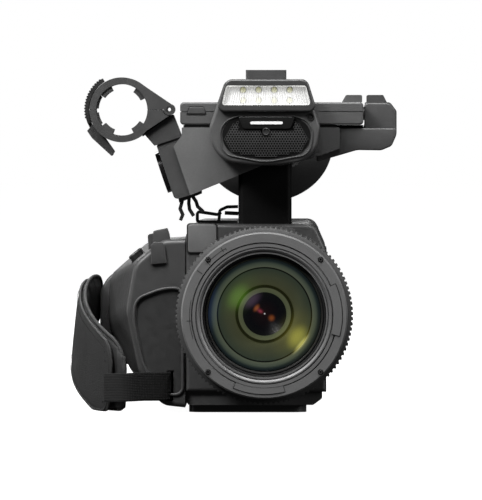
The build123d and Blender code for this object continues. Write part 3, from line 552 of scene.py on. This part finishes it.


# Painted reflection rings: colours by distance from the optical axis in millimetres.
reflection_rings = [(0, colour(26, 12, 14)), (4, colour(18, 11, 14)), (9, colour(9, 9, 13)), (12.9, colour(12, 14, 14)),
         (13.1, colour(78, 84, 62)), (15.5, colour(84, 88, 64)), (15.8, colour(26, 28, 12)),
         (17.3, colour(30, 32, 12)), (17.7, colour(66, 68, 48)), (22.5, colour(62, 66, 50)),
         (27.4, colour(50, 58, 48)), (27.7, colour(6, 8, 6)), (28.2, colour(6, 8, 6)),
         (28.5, colour(78, 84, 70)), (30.6, colour(62, 70, 60)), (32.0, colour(30, 38, 38)),
         (34.0, colour(8, 11, 15))]
# Painted glints: x, z, reach, colour and stretch of each spot of reflected lamp light; the white one at the
# centre is a painted highlight.
painted_glints = [(-15.7, 10.5, 8.2, colour(60, 92, 28), 1.5), (19.6, -13.6, 8.0, colour(132, 128, 46), 1.4),
         (18.0, -12.0, 15.0, colour(60, 56, 10), 1.6), (-15.0, 12.0, 14.0, colour(30, 46, 10), 1.6),
         (-7.6, 8.4, 5.6, colour(62, 46, 66), 1.8), (-3.0, 1.9, 4.2, colour(84, 30, 38), 0.6),
         (-2.6, 1.5, 2.4, colour(112, 40, 50), 0.6), (4.1, -2.5, 3.0, colour(120, 62, 24), 1.0),
         (-4.9, 3.5, 2.2, colour(128, 70, 34), 1.7), (21.6, -17.6, 2.0, colour(150, 146, 90), 5.0),
         (0, 0, 0.75, colour(225, 225, 225), 1.0), (-31.0, 4.0, 7.0, colour(16, 24, 46), 3.0)]
painted_reflection_look("lens_painted_reflections", reflection_rings, painted_glints, 34.0, 0.9)
dish = [(-110.2, 0.02), (-112.0, 6.0), (-115.4, 12.9), (-116.6, 13.1), (-116.9, 15.6), (-115.9, 15.9),
        (-116.2, 17.3), (-118.0, 17.6), (-129.6, 27.5), (-129.2, 27.7), (-129.4, 28.3), (-131.6, 28.5),
        (-132.4, 31.0), (-131.2, 33.4), (-130.7, 33.4), (-128.4, 29.2), (-117.0, 20.0), (-109.6, 13.0),
        (-109.6, 0.02)]
round_piece("lens_reflection_dish", dish, "lens_painted_reflections", hard=25, steps=144)

# %% Retaining rings round the front glass
holding_ring = [(-139.0, 33.7), (-140.4, 34.2), (-140.4, 34.7), (-139.6, 34.9), (-139.8, 35.5),
                (-141.4, 35.7), (-141.4, 36.2), (-138.6, 36.3), (-138.6, 33.9)]
round_piece("glass_retaining_ring", holding_ring, "black_plastic", hard=25, steps=144)

# %% [markdown]
# ## Lamp and microphone head
# A ribbed clear cover spreads the light of eight small lamps, and below it a perforated steel plate covers
# the microphones. The plate is one six-sided cell with a hole, repeated on a honeycomb, so it is a true
# mesh with depth and not a printed pattern.

# %% Ribbed lamp cover
low_z, high_z = 185.4, 196.6
low_left, low_right = -25.8, 27.6
high_left, high_right = -23.0, 24.6
columns, rib_depth, arch_height = 72, 0.5, 0.4
bm = bmesh.new()
bmesh.ops.create_grid(bm, x_segments=columns, y_segments=4, size=0.5)
for v in bm.verts:
    across, up = v.co.x + 0.5, v.co.y + 0.5
    left = low_left + (high_left - low_left) * up
    right = low_right + (high_right - low_right) * up
    arch = arch_height * (1 - (2 * across - 1) ** 2) * up
    rib = rib_depth if round(across * columns) % 2 else 0.0
    v.co = Vector(((left + (right - left) * across) * MM, (-108.9 - rib) * MM,
                   (low_z + (high_z - low_z) * up + arch) * MM))
thicken(bm, list(bm.faces), 0.7)
piece_from(bm, "lamp_cover_ribbed", "clear_window", hard=20, replaced=("lamp_window",))

# %% Lamps and their reflector
flat_piece("lamp_reflector", [(-25.0, 186.0), (26.8, 186.0), (24.2, 196.6), (-22.4, 196.6)], -101.2, -101.9,
           "lamp_white", corner=1.0)
lamp_spots = [(1 + (column - 1.5) * 9.3, 191.3 + (row - 0.5) * 6.2)
              for column in range(4) for row in range(2)]
bm = bmesh.new()
for spot in lamp_spots:
    turned(bm, [(-101.8, 1.4), (-101.8, 2.1), (-103.4, 2.1), (-103.4, 1.8)], centre=spot, steps=20)
piece_from(bm, "lamp_cups", "light_plastic")
tree, shader, where = begin("lamp_glow")
warm = between(tree, noise(tree, where, 1.6, 2), 0, 1)
glow = blend_colours(tree, warm, colour(244, 242, 190), colour(250, 250, 226))
tree.links.new(glow, shader.inputs["Base Color"])
shader.inputs["Emission Color"].default_value = colour(255, 252, 190)
shader.inputs["Emission Strength"].default_value = 0.6
shader.inputs["Roughness"].default_value = 0.3
lamp_dome = [(-101.8, 0.02), (-101.8, 1.7), (-103.0, 1.6), (-103.8, 1.1), (-104.1, 0.02)]
bm = bmesh.new()
for spot in lamp_spots:
    turned(bm, lamp_dome, centre=spot, steps=20)
piece_from(bm, "lamps", "lamp_glow")

# %% Perforated grille
mesh_outline = [(-17, 178.4), (19, 178.4), (28, 172), (26, 157), (0, 152.6), (-24, 157), (-26, 172)]


def inside(x, z, outline, margin):
    """True where (x, z) is at least margin inside a convex outline."""
    for (x0, z0), (x1, z1) in zip(outline, outline[1:] + outline[:1]):
        length = math.hypot(x1 - x0, z1 - z0)
        if ((z1 - z0) * (x - x0) - (x1 - x0) * (z - z0)) / length < margin:
            return False
    return True


def in_grille(x, z):
    if abs(x - 1) < 16.5 and z > 170.6:
        return False
    if math.hypot((x - 0.9) / 25.6, (z - 165.6) / 14.2) > 0.95 and not inside(x, z, mesh_outline, 4.5):
        return False
    return inside(x, z, mesh_outline, 1.6) and math.hypot(x - 0.8, z - 169.8) > 2.4


pitch = 1.62
bm = bmesh.new()
bmesh.ops.create_circle(bm, cap_ends=True, radius=pitch / math.sqrt(3) * MM, segments=6)
cell_face = bm.faces[:][0]
bmesh.ops.rotate(bm, verts=bm.verts, cent=(0, 0, 0), matrix=Matrix.Rotation(math.radians(90), 3, "X"))
bmesh.ops.inset_region(bm, faces=[cell_face], thickness=0.30 * MM, use_boundary=True)
bmesh.ops.delete(bm, geom=[cell_face], context="FACES")
pattern = bm.faces[:]
centres = []
for row in range(-12, 13):
    for column in range(-18, 19):
        x = 0.9 + (column + 0.5 * (row % 2)) * pitch
        z = 165.2 + row * pitch * math.sqrt(3) / 2
        if in_grille(x, z):
            centres.append((x, z))
for x, z in centres:
    verts = verts_of(bmesh.ops.duplicate(bm, geom=pattern))
    bulge = 0.9 * max(0.0, 1 - ((x - 1) / 27) ** 2 - ((z - 165.5) / 13) ** 2)
    bmesh.ops.translate(bm, verts=verts, vec=(x * MM, (-108.7 - bulge) * MM, z * MM))
bmesh.ops.delete(bm, geom=pattern, context="FACES")
bmesh.ops.delete(bm, geom=[v for v in bm.verts if not v.link_faces], context="VERTS")
bmesh.ops.remove_doubles(bm, verts=bm.verts, dist=0.12 * MM)
thicken(bm, list(bm.faces), 0.45)
print("holes", len(centres))
piece_from(bm, "grille_mesh", "mesh_metal", hard=30)

# %% [markdown]
# ## Arm and hinge of the display
# The display folds about a hinge at the end of a short arm. The arm's front stays with the body, and the
# hinge's front turns with the hinge, so they are two plates, one in front of the other, and neither
# meets the other when the hinge turns.

# %% Fronts of the arm and the hinge
arm_outline = [(31, 151.2), (55.5, 158.4), (70.0, 158.2), (76.2, 160.8), (79.2, 167.6), (79.2, 171.6),
               (31, 171.6)]
flat_piece("arm_cover", arm_outline, -62.8, -75.0, "casing_plastic", corner=1.4, edge=0.9)
hinge_outline = [(59.8, 160.2), (59.8, 186.8), (74.8, 186.8), (79.1, 182.4), (79.1, 168.6), (76.4, 162.6),
                 (70.6, 160.2)]
flat_piece("hinge_front_cover", hinge_outline, -59.9, -62.2, "casing_plastic", "lcd_hinge", corner=2.2,
           edge=0.9)

# %% [markdown]
# ## Edge of the grille
# A thin rim covers the cut edge of the perforated sheet. On it sit a blank badge and two round sensors.

# %% Rim, badge bar and sensors of the grille
rim_outline = [(-18, 179.6), (20, 179.6), (29.6, 173), (27.4, 155.8), (0, 150.9), (-25.4, 155.8),
               (-27.6, 173)]
flat_piece("grille_rim", rim_outline, -107.6, -109.0, "casing_plastic", corner=8.5, hole=0.7, edge=0.25)
flat_piece("badge_plate", [(-15.8, 178.6), (18.2, 178.6), (15.4, 171.2), (-13.0, 171.2)], -108.0, -110.2,
           "gloss_black", corner=1.6, edge=0.4)
flat_piece("badge_bar", [(-8.6, 175.7), (10.8, 175.7), (10.8, 174.0), (-8.6, 174.0)], -110.1, -110.6,
           "mark_white", corner=0.8)
centre_cup = [(-108.2, 0.02), (-108.2, 2.3), (-110.4, 2.3), (-110.8, 1.9), (-110.3, 1.5), (-110.2, 0.02)]
round_piece("centre_sensor", centre_cup, "black_plastic", centre=(0.8, 169.6), steps=28)
side_cup = [(-107.0, 0.02), (-107.0, 2.25), (-108.5, 2.25), (-108.6, 1.8), (-108.0, 1.6), (-108.3, 0.02)]
round_piece("round_sensor", side_cup, "black_plastic", centre=(27.3, 178.4), steps=32)

# %% [markdown]
# ## Panels and small fittings of the casing
# A pale plate marks the shoulder of the casing, a raised rim frames the grip's front inset, and the folded
# display has a finger tab. Each is a flat outline with a rounded edge.

# %% Shoulder plate
flat_piece("shoulder_gap", [(-47.0, 96.0), (-47.0, 114.6), (-28.4, 114.6), (-28.4, 99.0), (-31.0, 96.0)],
           -79.6, -80.7, "lens_black", corner=4.2, edge=0.3)
flat_piece("shoulder_plate", [(-46.2, 96.8), (-46.2, 113.8), (-29.2, 113.8), (-29.2, 99.4), (-31.4, 96.8)],
           -79.6, -81.3, "light_plastic", corner=3.8, edge=0.5)

# %% Rim of the grip's front inset
inset = [(-48.6, 10.4), (-48.6, 76.2), (-61, 76.4), (-78.6, 69.6), (-80.0, 56), (-74.0, 28.6), (-63.4, 10.8)]
flat_piece("grip_inset_rim", inset, -79.8, -81.4, "grip_plastic", corner=5.5, hole=1.7, edge=0.6)

# %% Folded buckle on the strap lug
upper_half = [(-67.6, 101.4), (-67.2, 109.8), (-58.8, 111.6), (-57.4, 107.6), (-56.8, 101.4)]
lower_half = [(-68.4, 89.6), (-68.6, 101.0), (-67.0, 103.4), (-61.4, 103.0), (-60.2, 100.6), (-58.8, 90.4)]
flat_piece("lug_buckle_upper", upper_half, -69.0, -77.2, "grip_plastic", corner=0.7, edge=0.5)
flat_piece("lug_buckle_lower", lower_half, -79.6, -82.0, "grip_plastic", corner=0.7, edge=0.5)

# %% Finger tab of the display
flat_piece("finger_tab_line", [(-47.4, 179.6), (-45.6, 184.8), (-36.6, 184.8), (-35.0, 179.6)], -77.4, -78.3,
           "lens_black", "lcd", corner=1.2, hole=0.42)
flat_piece("finger_tab", [(-46.8, 180.2), (-45.3, 184.3), (-36.9, 184.3), (-35.6, 180.2)], -77.4, -78.5,
           "casing_plastic", "lcd", corner=1.0, edge=0.3)

# %% [markdown]
# ## Fittings on the sides, the top and the back
# Every side of a working camera is busy: covers are screwed down, rings carry scale marks, the battery has
# ribs for the thumb and the sockets hide under rubber flaps. Screws and ribs repeat, so each is one small
# shape placed by a loop. A bevelled block does for the flaps and ribs, since the bevel catches the light.

# %% Bevelled blocks and screw heads
def block(bm, low, high, edge):
    """A bevelled block between two corners in millimetres."""
    size = [(b - a) * MM for a, b in zip(low, high)]
    middle = [(a + b) / 2 * MM for a, b in zip(low, high)]
    made = bmesh.ops.create_cube(bm, size=1, matrix=Matrix.Translation(middle) @ Matrix.Diagonal((*size, 1)))
    edges = list({e for v in made["verts"] for e in v.link_edges})
    bmesh.ops.bevel(bm, geom=edges, offset=edge * MM, affect="EDGES", segments=2, profile=0.5, material=-1)


def screw(bm, place, direction, radius=1.7):
    """A countersunk screw head with a hollow for the driver."""
    turn = Vector(direction).to_track_quat("Z", "Y").to_matrix().to_4x4()
    made = bmesh.ops.create_cone(bm, cap_ends=True, segments=18, radius1=radius * MM,
                                 radius2=radius * 0.86 * MM, depth=0.8 * MM,
                                 matrix=Matrix.Translation(Vector(place) * MM) @ turn)
    bm.normal_update()
    faces = {f for v in made["verts"] for f in v.link_faces if len(f.verts) > 4}
    top = max(faces, key=lambda f: f.calc_center_median().dot(Vector(direction)))
    bmesh.ops.inset_region(bm, faces=[top], thickness=radius * 0.45 * MM, depth=0)
    bmesh.ops.inset_region(bm, faces=[top], thickness=0.1 * MM, depth=-0.5 * MM)


bm = bmesh.new()
for x, z in ((-42, 19), (31, 19), (-42, 108), (31, 108)):
    screw(bm, (x, 131.2, z), (0, 1, 0))
for y, z in ((-39, 28), (103, 28), (-39, 86), (103, 86)):
    screw(bm, (40.2, y, z), (1, 0, 0), 1.5)
for x in (-11, 11):
    screw(bm, (x, 118, 180.2), (0, 0, 1), 1.4)
piece_from(bm, "cover_screws", "steel")

# %% Scale marks on the lens rings
for name, body, y0, y1, radius, count, gap in (("zoom_marks", "zoom", -99.7, -98.6, 50.0, 15, 5.0),
                                               ("iris_marks", "iris", -87.4, -86.4, 48.0, 11, 6.4)):
    bm = bmesh.new()
    for k in range(count):
        arc_plate(bm, radius - 0.2, radius + 0.12, 55 + k * gap, 0.9 if k % 2 else 1.5, y0, y1)
    piece_from(bm, name, "mark_white", body)

# %% Ribs on the battery and flaps on the back
bm = bmesh.new()
for k in range(7):
    block(bm, (-22, 157.4, 34 + k * 3.2), (6, 158.9, 35.8 + k * 3.2), 0.5)
piece_from(bm, "battery_ribs", "black_plastic", "battery_pack")
for name, low, high in (("jack_flap_upper", (18, 130.6, 62), (33.5, 132.2, 98)),
                        ("jack_flap_lower", (18, 130.6, 24), (33.5, 132.2, 58)),
                        ("rear_latch", (-44, 130.6, 50), (-34, 132.8, 66))):
    bm = bmesh.new()
    block(bm, low, high, 0.8)
    piece_from(bm, name, "soft_rubber")

# %% Rubber ribs on the handle
bm = bmesh.new()
for k in range(12):
    block(bm, (-8.5, 36 + k * 4.4, 179.4), (8.5, 38.6 + k * 4.4, 180.9), 0.6)
piece_from(bm, "handle_ribs", "soft_rubber")

# %% Cooling slots above the side controls, drawn as dark blocks of painted shade
bm = bmesh.new()
for k in range(9):
    block(bm, (36.6, -20 + k * 6, 91.5), (37.3, -17 + k * 6, 98.5), 0.3)
piece_from(bm, "vent_slots", "shade_black")

# %% [markdown]
# ## Hand strap
# The strap is a foam pad covered in leather cloth, with a second flap outside it and a nylon belt that
# passes into the grip. The pad starts as a grid bent along the strap's arc, narrow at the rear, rounded
# at the front and crowned in the middle. A short cloth simulation with pressure then plumps it.

# %% The strap's own space
strap_turn = math.radians(18.0)
arc_centre = (73.6, 14.4)
strap_start, strap_end, strap_lean = 159.0, 214.0, 0.11


def on_strap(degrees, radius, side):
    """A point on the strap: an angle along its arc, a radius, and the distance across it in millimetres."""
    a = math.radians(degrees)
    share = (degrees - strap_start) / (strap_end - strap_start)
    lean = strap_lean * max(0.0, 1 - (2 * share - 1) ** 4)
    x = arc_centre[0] + radius * math.cos(a) + lean * side
    y = arc_centre[1] + radius * math.sin(a)
    return Vector((x * MM, (12 + y * math.cos(strap_turn) - side * math.sin(strap_turn)) * MM,
                   (42.6 + y * math.sin(strap_turn) + side * math.cos(strap_turn)) * MM))


def half_width(share, full, round_start, round_end):
    """Half the strap's width along its length: it tapers to the rear and is rounded at the front."""
    width = full
    for distance, reach, least in ((share, round_start, 0.3), (1 - share, round_end, 0.5)):
        if distance < reach:
            arc = math.sqrt(max(0.0, 1 - (1 - distance / reach) ** 2))
            width = min(width, full * (least + (1 - least) * arc))
    return width


def sideways(degrees, across, width, floor):
    """Distance from the strap's middle line, kept above the floor on the lower side."""
    room = (on_strap(degrees, 188, 0).z / MM - floor) / math.cos(strap_turn)
    return across * (min(width, room) if across < 0 else width)


def strap_sheet(bm, start, end, inner, thick, full, along, wide, crown, rounds, floor=0.6, flare=0.0):
    """A closed pad: a grid bent to the arc, given thickness and a crown."""
    bmesh.ops.create_grid(bm, x_segments=along, y_segments=wide, size=0.5)
    sides = {v: (v.co.x + 0.5, v.co.y * 2) for v in bm.verts}
    outer = verts_of(bmesh.ops.extrude_face_region(bm, geom=list(bm.faces), use_keep_orig=True))
    for v in outer:
        sides[v] = (v.co.x + 0.5, v.co.y * 2)
    outer_set = set(outer)
    for v, (share, across) in sides.items():
        width = half_width(share, full, *rounds)
        swell = crown * (1 - across ** 4) * (1 - (2 * share - 1) ** 8)
        radius = inner + (thick + swell if v in outer_set else -0.25 * swell)
        radius += flare * max(0.0, (share - 0.72) / 0.28) ** 2
        along_arc = start + (end - start) * share
        v.co = on_strap(along_arc, radius, sideways(along_arc, across, width, floor))
    return bm


# %% The pad, plumped by a cloth simulation
def plump(piece, voxel_mm, pressure, frames, reach_mm):
    """Swells a closed soft piece with cloth pressure, keeps each point near home, and bakes the result."""
    remesh = piece.modifiers.new("remesh", "REMESH")
    remesh.mode = "VOXEL"
    remesh.voxel_size = voxel_mm * MM
    graph = bpy.context.evaluated_depsgraph_get()
    start = bpy.data.meshes.new_from_object(piece.evaluated_get(graph))
    piece.modifiers.clear()
    home = [v.co.copy() for v in start.vertices]
    old = piece.data
    piece.data = start
    bpy.data.meshes.remove(old)
    cloth = piece.modifiers.new("cloth", "CLOTH")
    cloth.settings.use_pressure = True
    cloth.settings.uniform_pressure_force = pressure
    cloth.settings.effector_weights.gravity = 0
    cloth.settings.quality = 5
    cloth.point_cache.frame_start = 1
    cloth.point_cache.frame_end = frames
    for step in range(1, frames + 1):
        scene.frame_set(step)
    graph = bpy.context.evaluated_depsgraph_get()
    blown = bpy.data.meshes.new_from_object(piece.evaluated_get(graph))
    piece.modifiers.clear()
    for v, rest in zip(blown.vertices, home):
        move = v.co - rest
        if move.length > reach_mm * MM:
            v.co = rest + move.normalized() * reach_mm * MM
        v.co.z = max(v.co.z, 0.4 * MM)
    old = piece.data
    piece.data = blown
    bpy.data.meshes.remove(old)
    scene.frame_set(1)
    blown.polygons.foreach_set("use_smooth", [True] * len(blown.polygons))


bm = bmesh.new()
strap_sheet(bm, 159.4, 213.6, 185.9, 3.0, 25.0, 44, 14, 0.6, (0.42, 0.12))
pad = piece_from(bm, "strap_pad_soft", "strap_leather", hard=60, replaced=("hand_strap_pad",))
plump(pad, 2.6, 3.0, 14, 1.2)
pad.data.materials.clear()
pad.data.materials.append(finishes["strap_leather"])
# Marks the faces that turn towards the arc's axis, so the pad's inner side gets the painted shade.
shade = pad.data.attributes.new("painted_inner_shade", "FLOAT", "POINT")
axis_point = Vector((arc_centre[0] * MM, 0, 0))
for k, v in enumerate(pad.data.vertices):
    inward = axis_point - v.co
    inward.z = 0
    shade.data[k].value = 1.0 if v.normal.dot(inward.normalized()) > 0.25 else 0.0
subdivision = pad.modifiers.new("subdivision", "SUBSURF")
subdivision.levels = subdivision.render_levels = 1
print("pad", len(pad.data.polygons))

# %% The outer flap
flap_rounds = (0.42, 0.06)    # the shares of its length over which the rear and the front narrow
bm = bmesh.new()
strap_sheet(bm, 162.0, 210.5, 189.6, 1.5, 24.0, 40, 12, 0.8, flap_rounds, flare=2.4)
flap = piece_from(bm, "strap_flap_soft", "strap_leather", hard=60, replaced=("hand_strap_cover",))
subdivision = flap.modifiers.new("subdivision", "SUBSURF")
subdivision.levels = subdivision.render_levels = 2


# %% Piping and stitches
def edge_path(start, end, radius, full, rounds, count, inset_mm, flare=0.0):
    """Points once round the edge of a strap sheet."""
    path = []
    for side, shares in ((1, range(count + 1)), (-1, range(count, -1, -1))):
        for k in shares:
            share = k / count
            width = half_width(share, full, *rounds) - inset_mm
            along = start + (end - start) * (0.02 + 0.96 * share)
            reach = radius + flare * max(0.0, (share - 0.72) / 0.28) ** 2
            path.append(on_strap(along, reach, sideways(along, side, width, 1.6)))
    return path


def curve_mesh(name, path, steps, cyclic=False, thick_mm=0.0):
    """The mesh of a smooth curve: a round tube, or a bare line if it has no thickness."""
    curve = bpy.data.curves.new(name, "CURVE")
    curve.dimensions = "3D"
    curve.bevel_depth = thick_mm * MM
    curve.bevel_resolution = 3
    spline = curve.splines.new("NURBS")
    spline.points.add(len(path) - 1)
    for point, place in zip(spline.points, path):
        point.co = (*place, 1)
    spline.order_u = 3
    spline.use_cyclic_u = cyclic
    spline.use_endpoint_u = not cyclic
    spline.resolution_u = steps
    holder = bpy.data.objects.new(name + "_curve", curve)
    scene.collection.objects.link(holder)
    mesh = bpy.data.meshes.new_from_object(holder.evaluated_get(bpy.context.evaluated_depsgraph_get()))
    bpy.data.objects.remove(holder)
    bpy.data.curves.remove(curve)
    return mesh


def tube(name, path, thick_mm, finish):
    """A round tube along a closed path."""
    mesh = curve_mesh(name, path, 3, cyclic=True, thick_mm=thick_mm)
    bm = bmesh.new()
    bm.from_mesh(mesh)
    bpy.data.meshes.remove(mesh)
    return piece_from(bm, name, finish, hard=60)


tube("pad_piping", edge_path(159.4, 213.6, 187.4, 25.0, (0.42, 0.12), 40, 0.2), 1.15, "strap_leather")
flap_edge = edge_path(162.0, 210.5, 190.5, 24.0, flap_rounds, 40, 0.1, flare=2.4)
tube("flap_piping", flap_edge, 0.95, "strap_leather")


def stitches(name, path, length_mm, thick_mm, finish):
    """Short thread dashes along a path: one small bead, stretched and repeated."""
    bm = bmesh.new()
    bmesh.ops.create_icosphere(bm, subdivisions=1, radius=0.5)
    pattern = bm.faces[:] + bm.edges[:] + bm.verts[:]
    for here, there in zip(path, path[1:] + path[:1]):
        run = there - here
        if run.length < 0.2 * MM:
            continue
        turn = run.to_track_quat("X", "Z").to_matrix()
        size = Matrix.Diagonal((length_mm * MM, thick_mm * MM, thick_mm * MM))
        verts = verts_of(bmesh.ops.duplicate(bm, geom=pattern))
        bmesh.ops.transform(bm, verts=verts, matrix=(turn @ size).to_4x4())
        bmesh.ops.translate(bm, verts=verts, vec=(here + there) / 2)
    bmesh.ops.delete(bm, geom=verts_of({"geom": pattern}), context="VERTS")
    return piece_from(bm, name, finish, tidy=False)


stitch_line = edge_path(162.6, 209.6, 192.0, 24.0, flap_rounds, 60, 3.0, flare=2.4)
stitches("flap_stitches", stitch_line, 1.7, 0.5, "strap_webbing")

# %% Woven belts into the grip
def belt(name, path, height, half_belt, fall_mm, replaced=()):
    """A flat woven belt along a smooth level path of (x, y)."""
    line = curve_mesh(name, [(x * MM, y * MM, height * MM) for x, y in path], 8)
    route = [v.co.copy() for v in line.vertices]
    bpy.data.meshes.remove(line)
    bm = bmesh.new()
    bmesh.ops.create_grid(bm, x_segments=len(route) - 1, y_segments=16, size=0.5)
    weave = bm.loops.layers.uv.new("weave")
    lengths = [0.0]
    for here, there in zip(route, route[1:]):
        lengths.append(lengths[-1] + (there - here).length)
    spots = {v: (round((v.co.x + 0.5) * (len(route) - 1)), v.co.y * 2) for v in bm.verts}
    for face in bm.faces:
        for corner in face.loops:
            index, across = spots[corner.vert]
            corner[weave].uv = (lengths[index] / MM, across * half_belt)
    for v, (index, across) in spots.items():
        fall = fall_mm * MM * max(0, index / len(route) - 0.5) * 2
        v.co = route[index] + Vector((0, 0, across * half_belt * MM - fall))
    piece = piece_from(bm, name, "strap_webbing", replaced=replaced, hard=60)
    thickness = piece.modifiers.new("thickness", "SOLIDIFY")
    thickness.thickness = 1.5 * MM
    thickness.offset = 0


front_route = [(-56.8, -67), (-56.8, -76), (-57.6, -82.8), (-62, -84.6), (-72, -86.0), (-81, -86.2),
               (-87, -81), (-93, -71), (-97.0, -63.6)]
rear_route = [(-103.5, 84), (-104.5, 91.5), (-100, 96.5), (-91, 95.5), (-84, 91.5), (-79, 87.0)]
belt("belt_woven", front_route, 16.5, 8.6, 1.6, replaced=("strap_webbing",))
belt("rear_belt_woven", rear_route, 61.0, 8.0, 0)

# %% Rear corner of the grip that the strap wraps round
corner_outline = [(-90, 24), (-102.5, 36), (-103.6, 50), (-103.4, 70), (-99, 78), (-82, 90.5), (-80, 24)]
flat_piece("strap_corner", corner_outline, 79.0, 68.0, "grip_plastic", corner=3.0, edge=1.6)

# %% [markdown]
# ## Microphone holder
# The clamp's latch has cast ridges for the thumb, and thin rubber liners show on its inside.

# %% Dark strips of painted shade in the holder's seams and under the folded display
def rectangle(x0, z0, x1, z1):
    """The outline of an upright rectangle."""
    return [(x0, z0), (x1, z0), (x1, z1), (x0, z1)]


post_gap = [(-73.6, 166.6), (-57.0, 177.6), (-56.0, 180.6), (-58.2, 179.6), (-74.0, 168.9)]
# Each strip is near-black and stands where the seams and gaps would show only shadow.
for name, outline, y0, y1 in (("holder_seal", rectangle(-105.2, 182.46, -101.6, 182.74), -61.0, -80.6),
                              ("holder_seam_shade_inner", rectangle(-70.4, 182.46, -61.6, 182.74), -61.0, -80.6),
                              ("post_gap_shade", post_gap, -60.0, -77.6),
                              ("display_rest", rectangle(-49.0, 171.6, 43.0, 173.45), -8.0, -77.0),
                              ("display_gap_shade_arm", rectangle(43.0, 167.4, 59.25, 173.45), -28.0, -55.0)):
    flat_piece(name, outline, y0, y1, "shade_black")

# %% Latch ridges and liners
clamp = (-86.0, 182.6)
ridge = [(-65.2, 22.0), (-65.2, 22.75), (-76.8, 22.75), (-76.8, 22.0)]
liner = [(-62, 14.3), (-62, 15.5), (-80, 15.5), (-80, 14.3)]
bm = bmesh.new()
for k in range(15):
    turned(bm, ridge, centre=clamp, steps=1, angle=math.radians(2.6), start=math.radians(126 + k * 4.6))
piece_from(bm, "latch_ridges", "black_plastic", "latch")
for name, body, start, span in (("liner_upper", "clamp", 147, 30), ("liner_lower", "root", 186, 28)):
    round_piece(name, liner, "soft_rubber", body, centre=clamp, steps=10, angle=math.radians(span),
                start=math.radians(start))

# %% [markdown]
# ## Camera, floor and light
# A long lens four metres away keeps the sides nearly parallel. The floor and the world are pale, a
# large soft lamp stands high on the left, and weaker ones fill the right and the top.

# %% Camera
def aim(item, target):
    item.rotation_euler = (Vector(target) - item.location).to_track_quat("-Z", "Y").to_euler()


view_side, view_rise, distance = math.radians(0.5), math.radians(1.2), 4.0
target = Vector((-14.2 * MM, -100 * MM, 98.8 * MM))
camera_data = bpy.data.cameras.new("camera")
camera_data.sensor_fit = "VERTICAL"
camera_data.sensor_height = 24
camera_data.lens = 24 * distance / 0.299
camera = bpy.data.objects.new("camera", camera_data)
toward_camera = Vector((math.sin(view_side) * math.cos(view_rise), -math.cos(view_side) * math.cos(view_rise),
                        math.sin(view_rise)))
camera.location = target + distance * toward_camera
aim(camera, target)
scene.collection.objects.link(camera)
scene.camera = camera

# %% Floor
bm = bmesh.new()
bmesh.ops.create_grid(bm, x_segments=2, y_segments=2, size=12)
mesh = bpy.data.meshes.new("floor")
bm.to_mesh(mesh)
bm.free()
floor = bpy.data.objects.new("floor", mesh)
scene.collection.objects.link(floor)
tree, shader, where = begin("floor_paint")
shader.inputs["Base Color"].default_value = (0.3, 0.3, 0.3, 1)
shader.inputs["Roughness"].default_value = 0.9
shader.inputs["Specular IOR Level"].default_value = 0.0
shader.inputs["Emission Color"].default_value = (1, 1, 1, 1)
shader.inputs["Emission Strength"].default_value = 0.985
floor.data.materials.append(finishes["floor_paint"])
floor.visible_diffuse = False
floor.visible_glossy = False

# %% Lights
world = bpy.data.worlds.new("studio")
world.use_nodes = True
scene.world = world
background = world.node_tree.nodes["Background"]
background.inputs["Color"].default_value = (1, 1, 1, 1)
ray = world.node_tree.nodes.new("ShaderNodeLightPath")
strength = world.node_tree.nodes.new("ShaderNodeMapRange")
strength.inputs["To Min"].default_value = 0.05
strength.inputs["To Max"].default_value = 1.0
world.node_tree.links.new(ray.outputs["Is Camera Ray"], strength.inputs["Value"])
world.node_tree.links.new(strength.outputs["Result"], background.inputs["Strength"])


def softbox(name, place, size, power, target=(0, 0, 0.1)):
    data = bpy.data.lights.new(name, "AREA")
    data.shape = "RECTANGLE"
    data.size, data.size_y = size
    data.energy = power
    item = bpy.data.objects.new(name, data)
    item.location = place
    aim(item, target)
    scene.collection.objects.link(item)


softbox("key", (-1.2, -1.4, 1.6), (0.6, 0.6), 62)
softbox("fill", (1.7, -0.9, 0.8), (0.5, 1.0), 14)
softbox("top", (0.0, -0.6, 1.3), (1.2, 0.5), 34, target=(0, -0.05, 0.17))
softbox("rear", (-0.4, 1.6, 1.2), (1.2, 0.8), 22)
softbox("left_edge", (-1.8, 0.2, 0.4), (0.4, 1.2), 12)
scene.view_settings.view_transform = "Standard"
